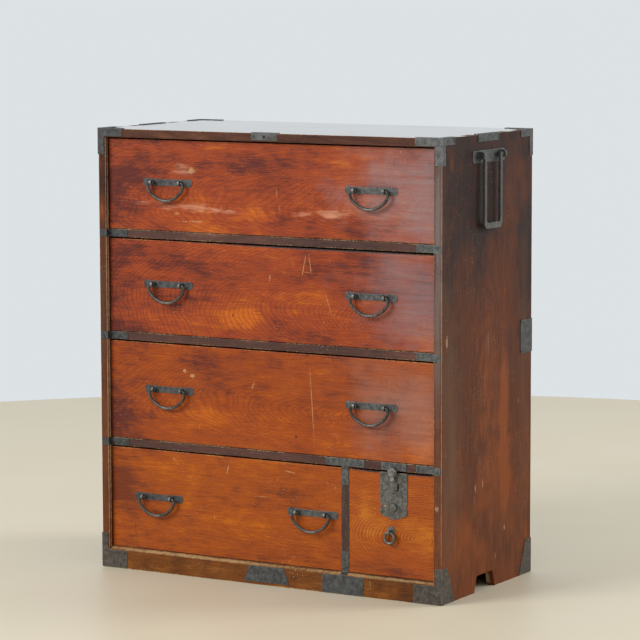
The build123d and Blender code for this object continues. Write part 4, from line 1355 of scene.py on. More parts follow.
# ---------------------------------- the case
@dataclass
class CaseWood:
    """The case's boards, each finished by where it sits."""

    arris: float = 0.9 * MM
    rail_arris: float = 0.7 * MM
    board_arris: float = 0.6 * MM
    tenon_drop: float = 20.0 * MM
    right_pith: Triple = (0.5, 0.25, -0.02)
    left_pith: Triple = (0.4, -0.25, 0.05)
    side_marks: tuple[Spot, ...] = tuple(
        replace(spot, face=Face.SIDE)
        for spot in (
            Spot(Mark.GLOW, 79.0, 340.0, 34.0, 330.0, strength=1.3),
            Spot(Mark.GLOW, 0.0, 420.0, 80.0, 380.0, strength=0.6),
            Spot(Mark.GLOW, 9.0, 747.0, 22.0, 70.0, strength=0.5),
            Spot(Mark.GLOW, -167.0, 942.0, 14.0, 22.0, strength=0.9),
            Spot(Mark.GLOW, -120.0, 120.0, 90.0, 90.0, strength=0.3),
            # This spot and the one two lines below are painted sheen, a painted reflection.
            Spot(Mark.SHEEN, 178.0, 480.0, 38.0, 560.0, strength=0.5),
            Spot(Mark.BLOOM, 1.5, 543.0, 9.0, 44.0, strength=0.45),
            Spot(Mark.SHEEN, -170.0, 330.0, 75.0, 460.0, strength=1.3),
            Spot(Mark.SHADE, -60.0, 860.0, 190.0, 240.0, strength=0.9),
            Spot(Mark.SHADE, -170.0, 740.0, 40.0, 380.0, strength=0.5),
            Spot(Mark.SHADE, 190.0, 740.0, 60.0, 400.0),
            Spot(Mark.SHADE, -20.0, 480.0, 1.6, 500.0, strength=0.9),
            Spot(Mark.BARE, -56.0, 231.0, 3.2, 9.0, strength=1.2),
            Spot(Mark.BARE, -58.0, 208.0, 1.4, 12.0, strength=0.6),
            Spot(Mark.BARE, -22.0, 236.0, 2.4, 7.0, strength=1.2),
            Spot(Mark.BARE, 84.0, 123.0, 3.6, 5.5),
            Spot(Mark.BARE, 40.0, 66.0, 2.4, 5.0, strength=0.8),
            Spot(Mark.BARE, -189.0, 565.5, 4.5, 14.0),
            Spot(Mark.BARE, 150.0, 400.0, 1.5, 6.0, strength=0.6),
        )
    )
    right_stile_marks: tuple[Spot, ...] = (
        # Painted sheen on the stile's face, a painted reflection.
        Spot(Mark.SHEEN, 428.0, 500.0, 14.0, 620.0),
        Spot(Mark.BLOOM, 429.0, 800.0, 26.0, 560.0, strength=0.85, depth=7.0),
        Spot(Mark.BARE, 426.0, 209.0, 4.5, 6.0),
        Spot(Mark.WORN, 437.5, 520.0, 1.3, 800.0, strength=1.2, depth=1.3),
        Spot(Mark.WORN, 33.0, 18.0, 9.0, 24.0, face=Face.JAMB),
    )
    left_stile_marks: tuple[Spot, ...] = (
        # Painted sheen on the stile's face, a painted reflection.
        Spot(Mark.SHEEN, -430.0, 420.0, 12.0, 500.0, strength=0.6),
        Spot(Mark.GLOW, -430.0, 818.0, 14.0, 46.0, strength=1.3),
        Spot(Mark.WORN, -419.5, 500.0, 1.2, 700.0, strength=0.6),
        Spot(Mark.WORN, -206.5, 500.0, 3.6, 800.0, face=Face.JAMB),
        Spot(Mark.WORN, 33.0, 18.0, 9.0, 24.0, face=Face.JAMB),
    )
    ledge_marks: tuple[Spot, ...] = (
        Spot(Mark.WORN, -180.0, 45.5, 420.0, 4.2),
        Spot(Mark.WORN, 260.0, 45.5, 300.0, 3.8),
        Spot(Mark.SHADE, -330.0, 18.0, 90.0, 16.0, strength=0.5),
        Spot(Mark.SHADE, 60.0, 22.0, 60.0, 18.0, strength=0.5),
        Spot(Mark.GLOW, -160.0, 22.0, 90.0, 18.0, strength=0.5),
    )

    def side(self, node: str, marks: tuple[Spot, ...], outer: float, inner: float, pith: Triple) -> None:
        """Finish one side panel.

        Args:
            node: The panel's node.
            marks: The marks on its faces.
            outer: Where its outer face lies.
            inner: Where its inner face lies.
            pith: Where its boards were cut.
        """
        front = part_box(node)[0].y
        finish = Lacquer(
            f"{node}_lacquer",
            deep=(0.026, 0.012, 0.009),
            middle=(0.112, 0.030, 0.009),
            warm=(0.250, 0.063, 0.012),
            pale=(0.50, 0.34, 0.20),
            scuff=(0.215, 0.175, 0.168),
            worn=(0.50, 0.36, 0.22),
            haze=(0.140, 0.076, 0.046),
            grain=Grain.UPRIGHT,
            log=Log(pith, 0.04, 5.0 * MM, 30.0 * MM),
            tone=0.48,
            swing=0.55,
            foot_tone=0.5,
            figure=0.3,
            roughness=0.5,
            specular=0.13,
            edge_width=2.4 * MM,
            edge_boxes=(box_of(node),),
            faces=((Face.FRONT, front), (Face.SIDE, outer), (Face.JAMB, inner)),
            marks=marks,
        )
        dress(node, finish.material())
        soften(node, self.arris)

    def rails(self) -> None:
        """Finish the rails between the drawers and the divider."""
        finish = Lacquer(
            "rail_lacquer",
            deep=(0.038, 0.020, 0.016),
            middle=(0.092, 0.042, 0.032),
            warm=(0.180, 0.075, 0.052),
            pale=(0.50, 0.35, 0.20),
            log=Log((0.0, -0.16, 0.2), 0.02, 4.0 * MM, 20.0 * MM),
            figure=0.4,
            roughness=0.45,
            edge_width=2.2 * MM,
            edge_patchy=0.9,
            edge_boxes=boxes_of("drawer_rails"),
            wear=1.5,
        )
        dress("drawer_rails", finish.material())
        soften("drawer_rails", self.rail_arris)
        upright = Lacquer(
            "divider_lacquer",
            deep=(0.032, 0.020, 0.017),
            middle=(0.068, 0.040, 0.032),
            warm=(0.120, 0.070, 0.052),
            pale=(0.48, 0.34, 0.20),
            grain=Grain.UPRIGHT,
            log=Log((0.2, 0.15, 0.0), 0.03, 4.5 * MM, 20.0 * MM),
            roughness=0.5,
            edge_boxes=(box_of("divider"),),
        )
        dress("divider", upright.material())
        soften("divider", self.rail_arris)

    def top(self) -> None:
        """Finish the top board with its deeper gloss, worn along its upper edges only."""
        low, high = box_of("top_panel")
        # A dark spot painted on the wood behind the middle plate's hole: painted shade in the hole.
        hole = Spot(Mark.DENT_AND_SHADOW, 0.0, (high[2] - TOP_HOLE_DROP) / MM, 8.0, 8.0, strength=3.0, depth=6.0)
        ends = (
            Spot(Mark.SHADE, end / MM, high[2] / MM, 22.0, 90.0, strength=2.0, depth=1600.0)
            for end in (high[0], low[0])
        )
        finish = Lacquer(
            "top_lacquer",
            deep=(0.036, 0.016, 0.011),
            middle=(0.092, 0.036, 0.022),
            warm=(0.190, 0.072, 0.032),
            pale=(0.50, 0.36, 0.22),
            grain=Grain.FLAT,
            log=Log((0.0, 0.93, 0.0), 0.05, 5.0 * MM, 40.0 * MM),
            swing=0.7,
            figure=0.5,
            roughness=0.24,
            specular=0.13,
            coat=1.0,
            coat_roughness=0.07,
            edge_width=2.2 * MM,
            edge_boxes=(((low[0], low[1], low[2] - self.tenon_drop), high),),
            faces=((Face.FRONT, low[1]),),
            marks=(hole, *ends),
            dust=0.06,
            relief=0.01 * MM,
        )
        dress("top_panel", finish.material())
        soften("top_panel", self.arris)

    def base(self) -> None:
        """Finish the base rail, browner and more worn than the rest."""
        finish = Lacquer(
            "base_lacquer",
            deep=(0.060, 0.026, 0.012),
            middle=(0.180, 0.058, 0.011),
            warm=(0.345, 0.125, 0.022),
            pale=(0.56, 0.41, 0.19),
            worn=(0.52, 0.34, 0.14),
            specular=0.13,
            log=Log((0.0, -0.1, 0.02), 0.05, 4.0 * MM, 20.0 * MM),
            tone=0.52,
            swing=0.9,
            figure=0.35,
            roughness=0.5,
            edge_width=3.0 * MM,
            edge_patchy=0.85,
            edge_boxes=(box_of("base_front_rail"),),
            faces=((Face.FRONT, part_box("base_front_rail")[0].y),),
            marks=self.ledge_marks,
            wear=2.0,
            dust=0.09,
        )
        dress("base_front_rail", finish.material())
        soften("base_front_rail", self.arris)

    def back(self) -> None:
        """Finish the boards that were never lacquered."""
        aged = BareWood(
            "aged_boards",
            light=(0.24, 0.155, 0.09),
            dark=(0.12, 0.07, 0.04),
            log=Log((0.0, 0.12, 0.4), 0.06),
            darkening=0.6,
        ).material()
        for node in ("back_boards", "base_back_rail", "bottom_board", "dust_boards"):
            dress(node, aged)
        pegs = BareWood("peg_ends", light=(0.38, 0.26, 0.15), dark=(0.2, 0.12, 0.06), grain=Grain.DEEP)
        dress("case_pegs", pegs.material())
        soften("back_boards", self.board_arris)

    def build(self) -> None:
        """Finish every board of the case."""
        marks = self.side_marks + self.right_stile_marks
        low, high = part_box("right_side_panel")
        self.side("right_side_panel", marks, high.x, low.x, self.right_pith)
        low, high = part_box("left_side_panel")
        self.side("left_side_panel", self.left_stile_marks, low.x, high.x, self.left_pith)
        self.rails()
        self.top()
        self.base()
        self.back()


@dataclass
class CaseIrons:
    """The flat irons on the case, cut from sheet and hammered flat."""

    irons: IronFinishes
    arris: float = 0.35 * MM
    rim: float = 1.0 * MM
    slice: float = 14.0 * MM
    blows: Blows = Blows(0.2 * MM, 16.0 * MM)

    NEAR: ClassVar[float] = 1.5 * MM

    @classmethod
    def at_end(cls, middle: Vector, boxes: list[tuple[Vector, Vector]]) -> bool:
        """Whether a point lies at an end corner of one of the plates.

        Args:
            middle: The point.
            boxes: The lowest and highest corner of each plate.

        Returns:
            Whether it lies there.
        """
        return any(
            min(abs(middle.x - low.x), abs(middle.x - high.x)) < cls.NEAR
            and min(abs(middle.z - low.z), abs(middle.z - high.z)) < cls.NEAR
            for low, high in boxes
        )

    def plate(self, node: str, body: str, material: Material, lobe: float = 0.0) -> None:
        """Work one node's plates.

        Args:
            node: The node that the plates stand for.
            body: The body that they ride on.
            material: Their finish.
            lobe: How far the corners of a front plate's ends are rounded, if at all.
        """
        shape = Shape.copy_of(node)
        if lobe:
            boxes = shape.islands()
            shape.ease_corners(lambda middle: self.at_end(middle, boxes), lobe)
        shape.round_arrises(self.arris)
        shape.ring_flats(self.rim)
        shape.slice_up(self.slice)
        shape.hammer(self.blows)
        shape.put(f"{node}_worked", body, "iron", material, (node,))

    def build(self) -> None:
        """Work every flat iron of the case."""
        self.plate("bottom_corner_irons", "case", self.irons.corner)
        flat = ("edge_plates", "rail_straps", "divider_irons", "lock_catch_plate", "side_handle_plates")
        for node in ("top_corner_irons", *flat):
            self.plate(node, "case", self.irons.plate)


@dataclass
class NailHeads:
    """Domed heads of hand-made nails, no two quite alike."""

    irons: IronFinishes
    height: float = 1.2 * MM
    steps: int = 12
    unevenness: float = 0.12
    blows: Blows = Blows(0.12 * MM, 1.6 * MM)

    DOME: ClassVar[Dome] = ((1.0, 0.0), (1.0, 0.25), (0.72, 0.78), (0.35, 0.97), (0.0, 1.0))
    MIDDLE_HEIGHT: ClassVar[float] = 0.5

    def head(self, shape: Shape, low: Vector, high: Vector, index: int) -> None:
        """Turn one head where a nail sits.

        Args:
            shape: The mesh that takes all the heads.
            low: The nail's lowest corner.
            high: The nail's highest corner.
            index: The nail's number, which varies its shape.
        """
        size = high - low
        spread = [abs(size[i] - size[(i + 1) % 3]) + abs(size[i] - size[(i + 2) % 3]) for i in range(3)]
        axis = spread.index(max(spread))
        middle = (low + high) / 2
        outward = Vector((0.0, 0.0, 0.0))
        outward[axis] = 1.0 if middle[axis] > (self.MIDDLE_HEIGHT if axis == 2 else 0.0) else -1.0
        across = Vector((0.0, 0.0, 0.0))
        across[(axis + 1) % 3] = 1.0
        radius = size[(axis + 1) % 3] / 2
        radius *= 1.0 - self.unevenness * (0.5 + 0.5 * noise.noise(Vector((index * 1.7, 0.3, 0.0))))
        tip = middle + outward * (abs(size[axis]) / 2)
        dome = tuple((radius * out, self.height * rise) for out, rise in self.DOME)
        shape.turn_dome(tip - outward * self.height, outward, across, dome, self.steps)

    def build(self) -> None:
        """Turn every head on the case's irons."""
        placed = boxes_of("iron_nails")
        shape = Shape()
        for index, (low, high) in enumerate(placed):
            self.head(shape, Vector(low), Vector(high), index)
        shape.close()
        shape.hammer(self.blows)
        shape.put("nail_heads", "case", "iron", self.irons.plate, ("iron_nails",))
        LOG.info("%d nail heads", len(placed))


# ---------------------------------- handles
@dataclass
class BailHandle:
    """A drawer's bail: a forged rod, thickest at its bow, with its tips turned in."""

    node: str
    body: str
    irons: IronFinishes
    tip_half: float = 31.0 * MM
    corner_radius: float = 6.5 * MM
    shoulder_radius: float = 22.0 * MM
    tip_share: float = 0.82
    leg_share: float = 1.08
    shoulder_share: float = 1.13
    bow_share: float = 1.17
    worn_rise: float = 4.0 * MM
    blows: Blows = Blows(0.25 * MM, 9.0 * MM)

    @staticmethod
    def handle_length(radius: float, turn: float) -> float:
        """How long the handles of a curve's ends are, for it to follow an arc."""
        return 4 / 3 * math.tan(turn / 4) * radius

    def curve(self) -> tuple[bpy.types.Curve, Vector]:
        """Draw the rod's line through the CAD bail's own box: tip, leg, shoulder, bow and back.

        Returns:
            The curve, in the bail's plane, and where its hinge line's middle lies.
        """
        low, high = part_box(self.node)
        rod = (high.y - low.y) / 2
        half = (high.x - low.x) / 2 - rod
        drop = high.z - low.z - 2 * rod
        bow_drop = drop - self.corner_radius
        room = 2 * (bow_drop - self.shoulder_radius)
        bow = (half**2 + bow_drop**2 - 2 * half * self.shoulder_radius) / room
        turn = math.acos((half - self.shoulder_radius) / (bow - self.shoulder_radius))
        corner_pull = self.handle_length(self.corner_radius, math.pi / 2)
        shoulder_pull = self.handle_length(self.shoulder_radius, turn)
        bow_pull = self.handle_length(bow, math.pi / 2 - turn)
        shoulder_x = half - self.shoulder_radius + self.shoulder_radius * math.cos(turn)
        shoulder_z = -self.corner_radius - self.shoulder_radius * math.sin(turn)
        straight = half - self.corner_radius
        third = (straight - self.tip_half) / 3
        tip, leg = self.tip_share, self.leg_share
        leaning = Vector((math.sin(turn), math.cos(turn)))
        right = [
            (Vector((0.0, -drop)), Vector((1.0, 0.0)), bow_pull, bow_pull, self.bow_share),
            (Vector((shoulder_x, shoulder_z)), leaning, bow_pull, shoulder_pull, self.shoulder_share),
            (Vector((half, -self.corner_radius)), Vector((0.0, 1.0)), shoulder_pull, corner_pull, leg),
            (Vector((straight, 0.0)), Vector((-1.0, 0.0)), corner_pull, third, tip),
            (Vector((self.tip_half, 0.0)), Vector((-1.0, 0.0)), third, third, tip),
        ]
        left = [
            (Vector((-place.x, place.y)), Vector((heading.x, -heading.y)), after, before, share)
            for place, heading, before, after, share in reversed(right[1:])
        ]
        line = bpy.data.curves.new(f"{self.node}_line", "CURVE")
        line.dimensions = "3D"
        line.resolution_u = 9
        line.bevel_depth = rod
        line.bevel_resolution = 3
        line.use_fill_caps = True
        spline = line.splines.new("BEZIER")
        spline.bezier_points.add(len(left) + len(right) - 1)
        for point, (place, heading, before, after, share) in zip(spline.bezier_points, [*left, *right]):
            point.co = (place.x, 0.0, place.y)
            point.handle_left = (place.x - heading.x * before, 0.0, place.y - heading.y * before)
            point.handle_right = (place.x + heading.x * after, 0.0, place.y + heading.y * after)
            point.radius = share
        hinge = Vector(((low.x + high.x) / 2, (low.y + high.y) / 2, high.z - rod))
        return line, hinge

    def build(self) -> None:
        """Draw the rod, make it a mesh, forge it and hang it in its eyes."""
        line, hinge = self.curve()
        drawn = bpy.data.objects.new(line.name, line)
        mesh = bpy.data.meshes.new_from_object(drawn)
        bpy.data.objects.remove(drawn)
        shape = Shape(mesh)
        bmesh.ops.translate(shape.bm, verts=shape.bm.verts, vec=hinge)
        shape.close()
        low = min(vert.co.z for vert in shape.bm.verts)
        for face in shape.bm.faces:
            if face.calc_center_median().z < low + self.worn_rise:
                face[shape.arris] = 1
        shape.hammer(self.blows)
        shape.put(f"{self.node}_forged", self.body, "worn_iron", self.irons.bail, (self.node,))


@dataclass
class CarryHandle:
    """A side's carrying handle: a flat bar drawn down to round ends."""

    side: str
    irons: IronFinishes
    arris: float = 1.6 * MM
    slice: float = 16.0 * MM
    blows: Blows = Blows(0.25 * MM, 30.0 * MM)

    def build(self) -> None:
        """Forge the handle from its CAD shape."""
        node = f"{self.side}_carry_handle"
        shape = Shape.copy_of(node)
        shape.round_arrises(self.arris)
        shape.slice_up(self.slice)
        shape.hammer(self.blows)
        shape.put(f"{node}_forged", f"{node}_body", "worn_iron", self.irons.carry, (node,))


# ---------------------------------- drawers
class Bay(Enum):
    """The chest's drawers, by the name that their nodes start with."""

    TOP = "top"
    UPPER = "upper"
    LOWER = "lower"
    WIDE = "wide"
    LOCK = "lock"


@dataclass
class Drawer:
    """A drawer: its figured front, its pale box and its two bail handles, if it has them."""

    bay: Bay
    front: Lacquer
    irons: IronFinishes
    box: Material
    floor: Material
    arris: float = 0.8 * MM
    plate_lobe: float = 8.6 * MM
    plate_slice: float = 11.0 * MM
    eye_arris: float = 0.5 * MM

    def build(self) -> None:
        """Finish the drawer's wood and hang its handles."""
        name = f"{self.bay.value}_drawer"
        front = f"{name}_front"
        finish = replace(self.front, name=f"{front}_lacquer", edge_boxes=(box_of(front),))
        dress(front, finish.material())
        soften(front, self.arris)
        dress(f"{name}_box", self.box)
        dress(f"{name}_bottom", self.floor)
        if self.bay is Bay.LOCK:
            return
        plates = CaseIrons(self.irons, slice=self.plate_slice)
        plates.plate(f"{name}_handle_plates", name, self.irons.plate, self.plate_lobe)
        posts = Shape.copy_of(f"{name}_handle_posts")
        posts.round_arrises(self.eye_arris)
        posts.put(f"{name}_handle_eyes", name, "worn_iron", self.irons.eye, (f"{name}_handle_posts",))
        for side in ("left", "right"):
            BailHandle(f"{name}_{side}_bail", f"{name}_{side}_bail_body", self.irons).build()


@dataclass
class LockSet:
    """The lock drawer's plate, bolt, button and ring pull."""

    irons: IronFinishes
    plate_arris: float = 0.45 * MM
    plate_rim: float = 1.0 * MM
    plate_slice: float = 8.0 * MM
    plate_blows: Blows = Blows(0.25 * MM, 9.0 * MM)
    cusp_radius: float = 9.0 * MM
    knob_thickness: float = 9.0 * MM
    knob_flats: int = 8
    knob_scallop: float = 0.86
    knob_arris: float = 0.6 * MM
    dish_rim: float = 2.0 * MM
    dish_depth: float = 0.9 * MM
    washer_radius: float = 6.8 * MM
    washer_thickness: float = 1.1 * MM
    washer_gap: float = 0.02 * MM
    washer_arris: float = 0.3 * MM
    neck_below_top: float = 12.5 * MM
    rivet_left: float = 20.6 * MM
    rivet_z: float = 203.0 * MM
    rivet_radius: float = 1.9 * MM
    rivet_steps: int = 14
    ring_wire: float = 3.7 * MM
    ring_sides: int = 14
    ring_steps: int = 44
    ring_blows: Blows = Blows(0.2 * MM, 6.0 * MM)
    staple_blows: Blows = Blows(0.15 * MM, 5.0 * MM)

    NEAR: ClassVar[float] = 0.2 * MM
    RIM_SHARE: ClassVar[float] = 0.8
    FRONT_FACING: ClassVar[float] = -0.99
    RUBBED_AND_LIT_FACING: ClassVar[float] = -0.4
    RIVET_DOME: ClassVar[Dome] = ((1.0, -0.3 * MM), (1.0, 0.3 * MM), (0.6, 0.8 * MM), (0.0, 0.95 * MM))

    def plate(self) -> None:
        """Work the face plate, its cusp blunted."""
        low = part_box("lock_plate")[0]
        shape = Shape.copy_of("lock_plate")
        shape.ease_corners(lambda middle: middle.z < low.z + 0.5 * MM, self.cusp_radius)
        shape.round_arrises(self.plate_arris)
        shape.ring_flats(self.plate_rim)
        shape.slice_up(self.plate_slice)
        shape.hammer(self.plate_blows)
        shape.put("lock_plate_worked", "lock_drawer", "iron", self.irons.lock, ("lock_plate",))

    def scallop(self, shape: Shape, centre: Vector) -> None:
        """Press a hollow into each flat of the knob's rim.

        Args:
            shape: The bolt's mesh.
            centre: The middle of the knob's face.
        """
        limit = centre.y + self.knob_thickness + self.NEAR
        rim = [vert for vert in shape.bm.verts if vert.co.y < centre.y + self.NEAR]
        corner = max(rim, key=lambda vert: (vert.co - centre).length)
        start = math.atan2(corner.co.z - centre.z, corner.co.x - centre.x)
        for index in range(self.knob_flats // 2):
            angle = start + math.tau / self.knob_flats * (index + 0.5)
            faces = [face for face in shape.bm.faces if all(vert.co.y < limit for vert in face.verts)]
            geometry = {item for face in faces for item in (face, *face.edges, *face.verts)}
            normal = Vector((-math.sin(angle), 0.0, math.cos(angle)))
            cut = bmesh.ops.bisect_plane(
                shape.bm, geom=list(geometry), dist=WELD, plane_co=centre, plane_no=normal
            )["geom_cut"]
            for vert in (item for item in cut if isinstance(item, bmesh.types.BMVert)):
                arm = Vector((vert.co.x - centre.x, 0.0, vert.co.z - centre.z))
                if arm.length > self.RIM_SHARE * (corner.co - centre).length:
                    vert.co += arm * (self.knob_scallop - 1.0)

    def bolt(self) -> None:
        """Round the bolt, scallop its knob and dish the knob's face."""
        shape = Shape.copy_of("lock_bolt")
        front = min(vert.co.y for vert in shape.bm.verts)
        rim = [vert.co for vert in shape.bm.verts if vert.co.y < front + self.NEAR]
        centre = sum(rim, Vector()) / len(rim)
        self.scallop(shape, centre)
        shape.round_arrises(self.knob_arris)
        shape.bm.normal_update()
        faces = [
            face
            for face in shape.bm.faces
            if face.normal.y < self.FRONT_FACING
            and face.calc_center_median().y < front + self.NEAR
            and not face[shape.arris]
        ]
        for depth in (0.0, -self.dish_depth, -self.dish_depth / 3):
            bmesh.ops.inset_region(
                shape.bm, faces=faces, thickness=self.dish_rim, depth=depth, use_even_offset=True
            )
        shape.put("lock_knob", "lock_bolt_body", "worn_iron", self.irons.knob, ("lock_bolt",))

    def washer(self) -> None:
        """Cut the small scalloped washer under the knob's neck."""
        low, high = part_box("lock_plate")
        middle = Vector(((low.x + high.x) / 2, low.y - self.washer_gap, high.z - self.neck_below_top))
        shape = Shape()
        facing = Matrix.Translation(middle) @ Matrix.Rotation(math.radians(90), 4, "X")
        points = 2 * self.knob_flats
        made = bmesh.ops.create_circle(
            shape.bm, cap_ends=True, segments=points, radius=self.washer_radius, matrix=facing
        )
        for vert in made["verts"][::2]:
            vert.co = middle + (vert.co - middle) * self.knob_scallop
        raised = bmesh.ops.extrude_face_region(shape.bm, geom=list(shape.bm.faces))["geom"]
        verts = [item for item in raised if isinstance(item, bmesh.types.BMVert)]
        bmesh.ops.translate(shape.bm, verts=verts, vec=(0.0, -self.washer_thickness, 0.0))
        shape.close()
        shape.round_arrises(self.washer_arris)
        shape.put("neck_washer", "lock_bolt_body", "worn_iron", self.irons.knob)

    def rivet(self) -> None:
        """Turn the small brass rivet beside the button."""
        low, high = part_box("lock_plate")
        middle = Vector(((low.x + high.x) / 2 - self.rivet_left, low.y, self.rivet_z))
        outward, across = Vector((0.0, -1.0, 0.0)), Vector((1.0, 0.0, 0.0))
        dome = tuple((self.rivet_radius * out, rise) for out, rise in self.RIVET_DOME)
        shape = Shape()
        shape.turn_dome(middle, outward, across, dome, self.rivet_steps)
        shape.close()
        shape.put("plate_rivet", "lock_drawer", "worn_iron", self.irons.brass)

    def ring(self) -> None:
        """Turn the pull ring from thick wire, as wide as its CAD shape."""
        low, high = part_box("pull_ring")
        centre = (low + high) / 2
        radius = (high.x - low.x) / 2 - self.ring_wire
        shape = Shape()
        above = centre + Vector((0.0, 0.0, radius))
        wire = Matrix.Translation(above) @ Matrix.Rotation(math.radians(90), 4, "Y")
        made = bmesh.ops.create_circle(
            shape.bm, cap_ends=False, segments=self.ring_sides, radius=self.ring_wire, matrix=wire
        )
        shape.turn([*made["verts"], *shape.bm.edges], centre, Vector((0.0, 1.0, 0.0)), self.ring_steps)
        shape.close()
        # The faces turned to the front are marked rubbed bright: partly wear, partly a painted
        # highlight.
        for face in shape.bm.faces:
            if face.normal.y < self.RUBBED_AND_LIT_FACING:
                face[shape.arris] = 1
        shape.hammer(self.ring_blows)
        shape.put("pull_ring_forged", "pull_ring_body", "worn_iron", self.irons.rubbed, ("pull_ring",))

    def staple(self) -> None:
        """Forge the staple that the ring hangs in."""
        shape = Shape.copy_of("pull_staple")
        shape.hammer(self.staple_blows)
        shape.put("pull_staple_forged", "lock_drawer", "worn_iron", self.irons.knob, ("pull_staple",))

    def build(self) -> None:
        """Make the lock's irons."""
        self.plate()
        self.bolt()
        self.washer()
        self.rivet()
        self.ring()
        self.staple()
        dress("lock_button", self.irons.lock)


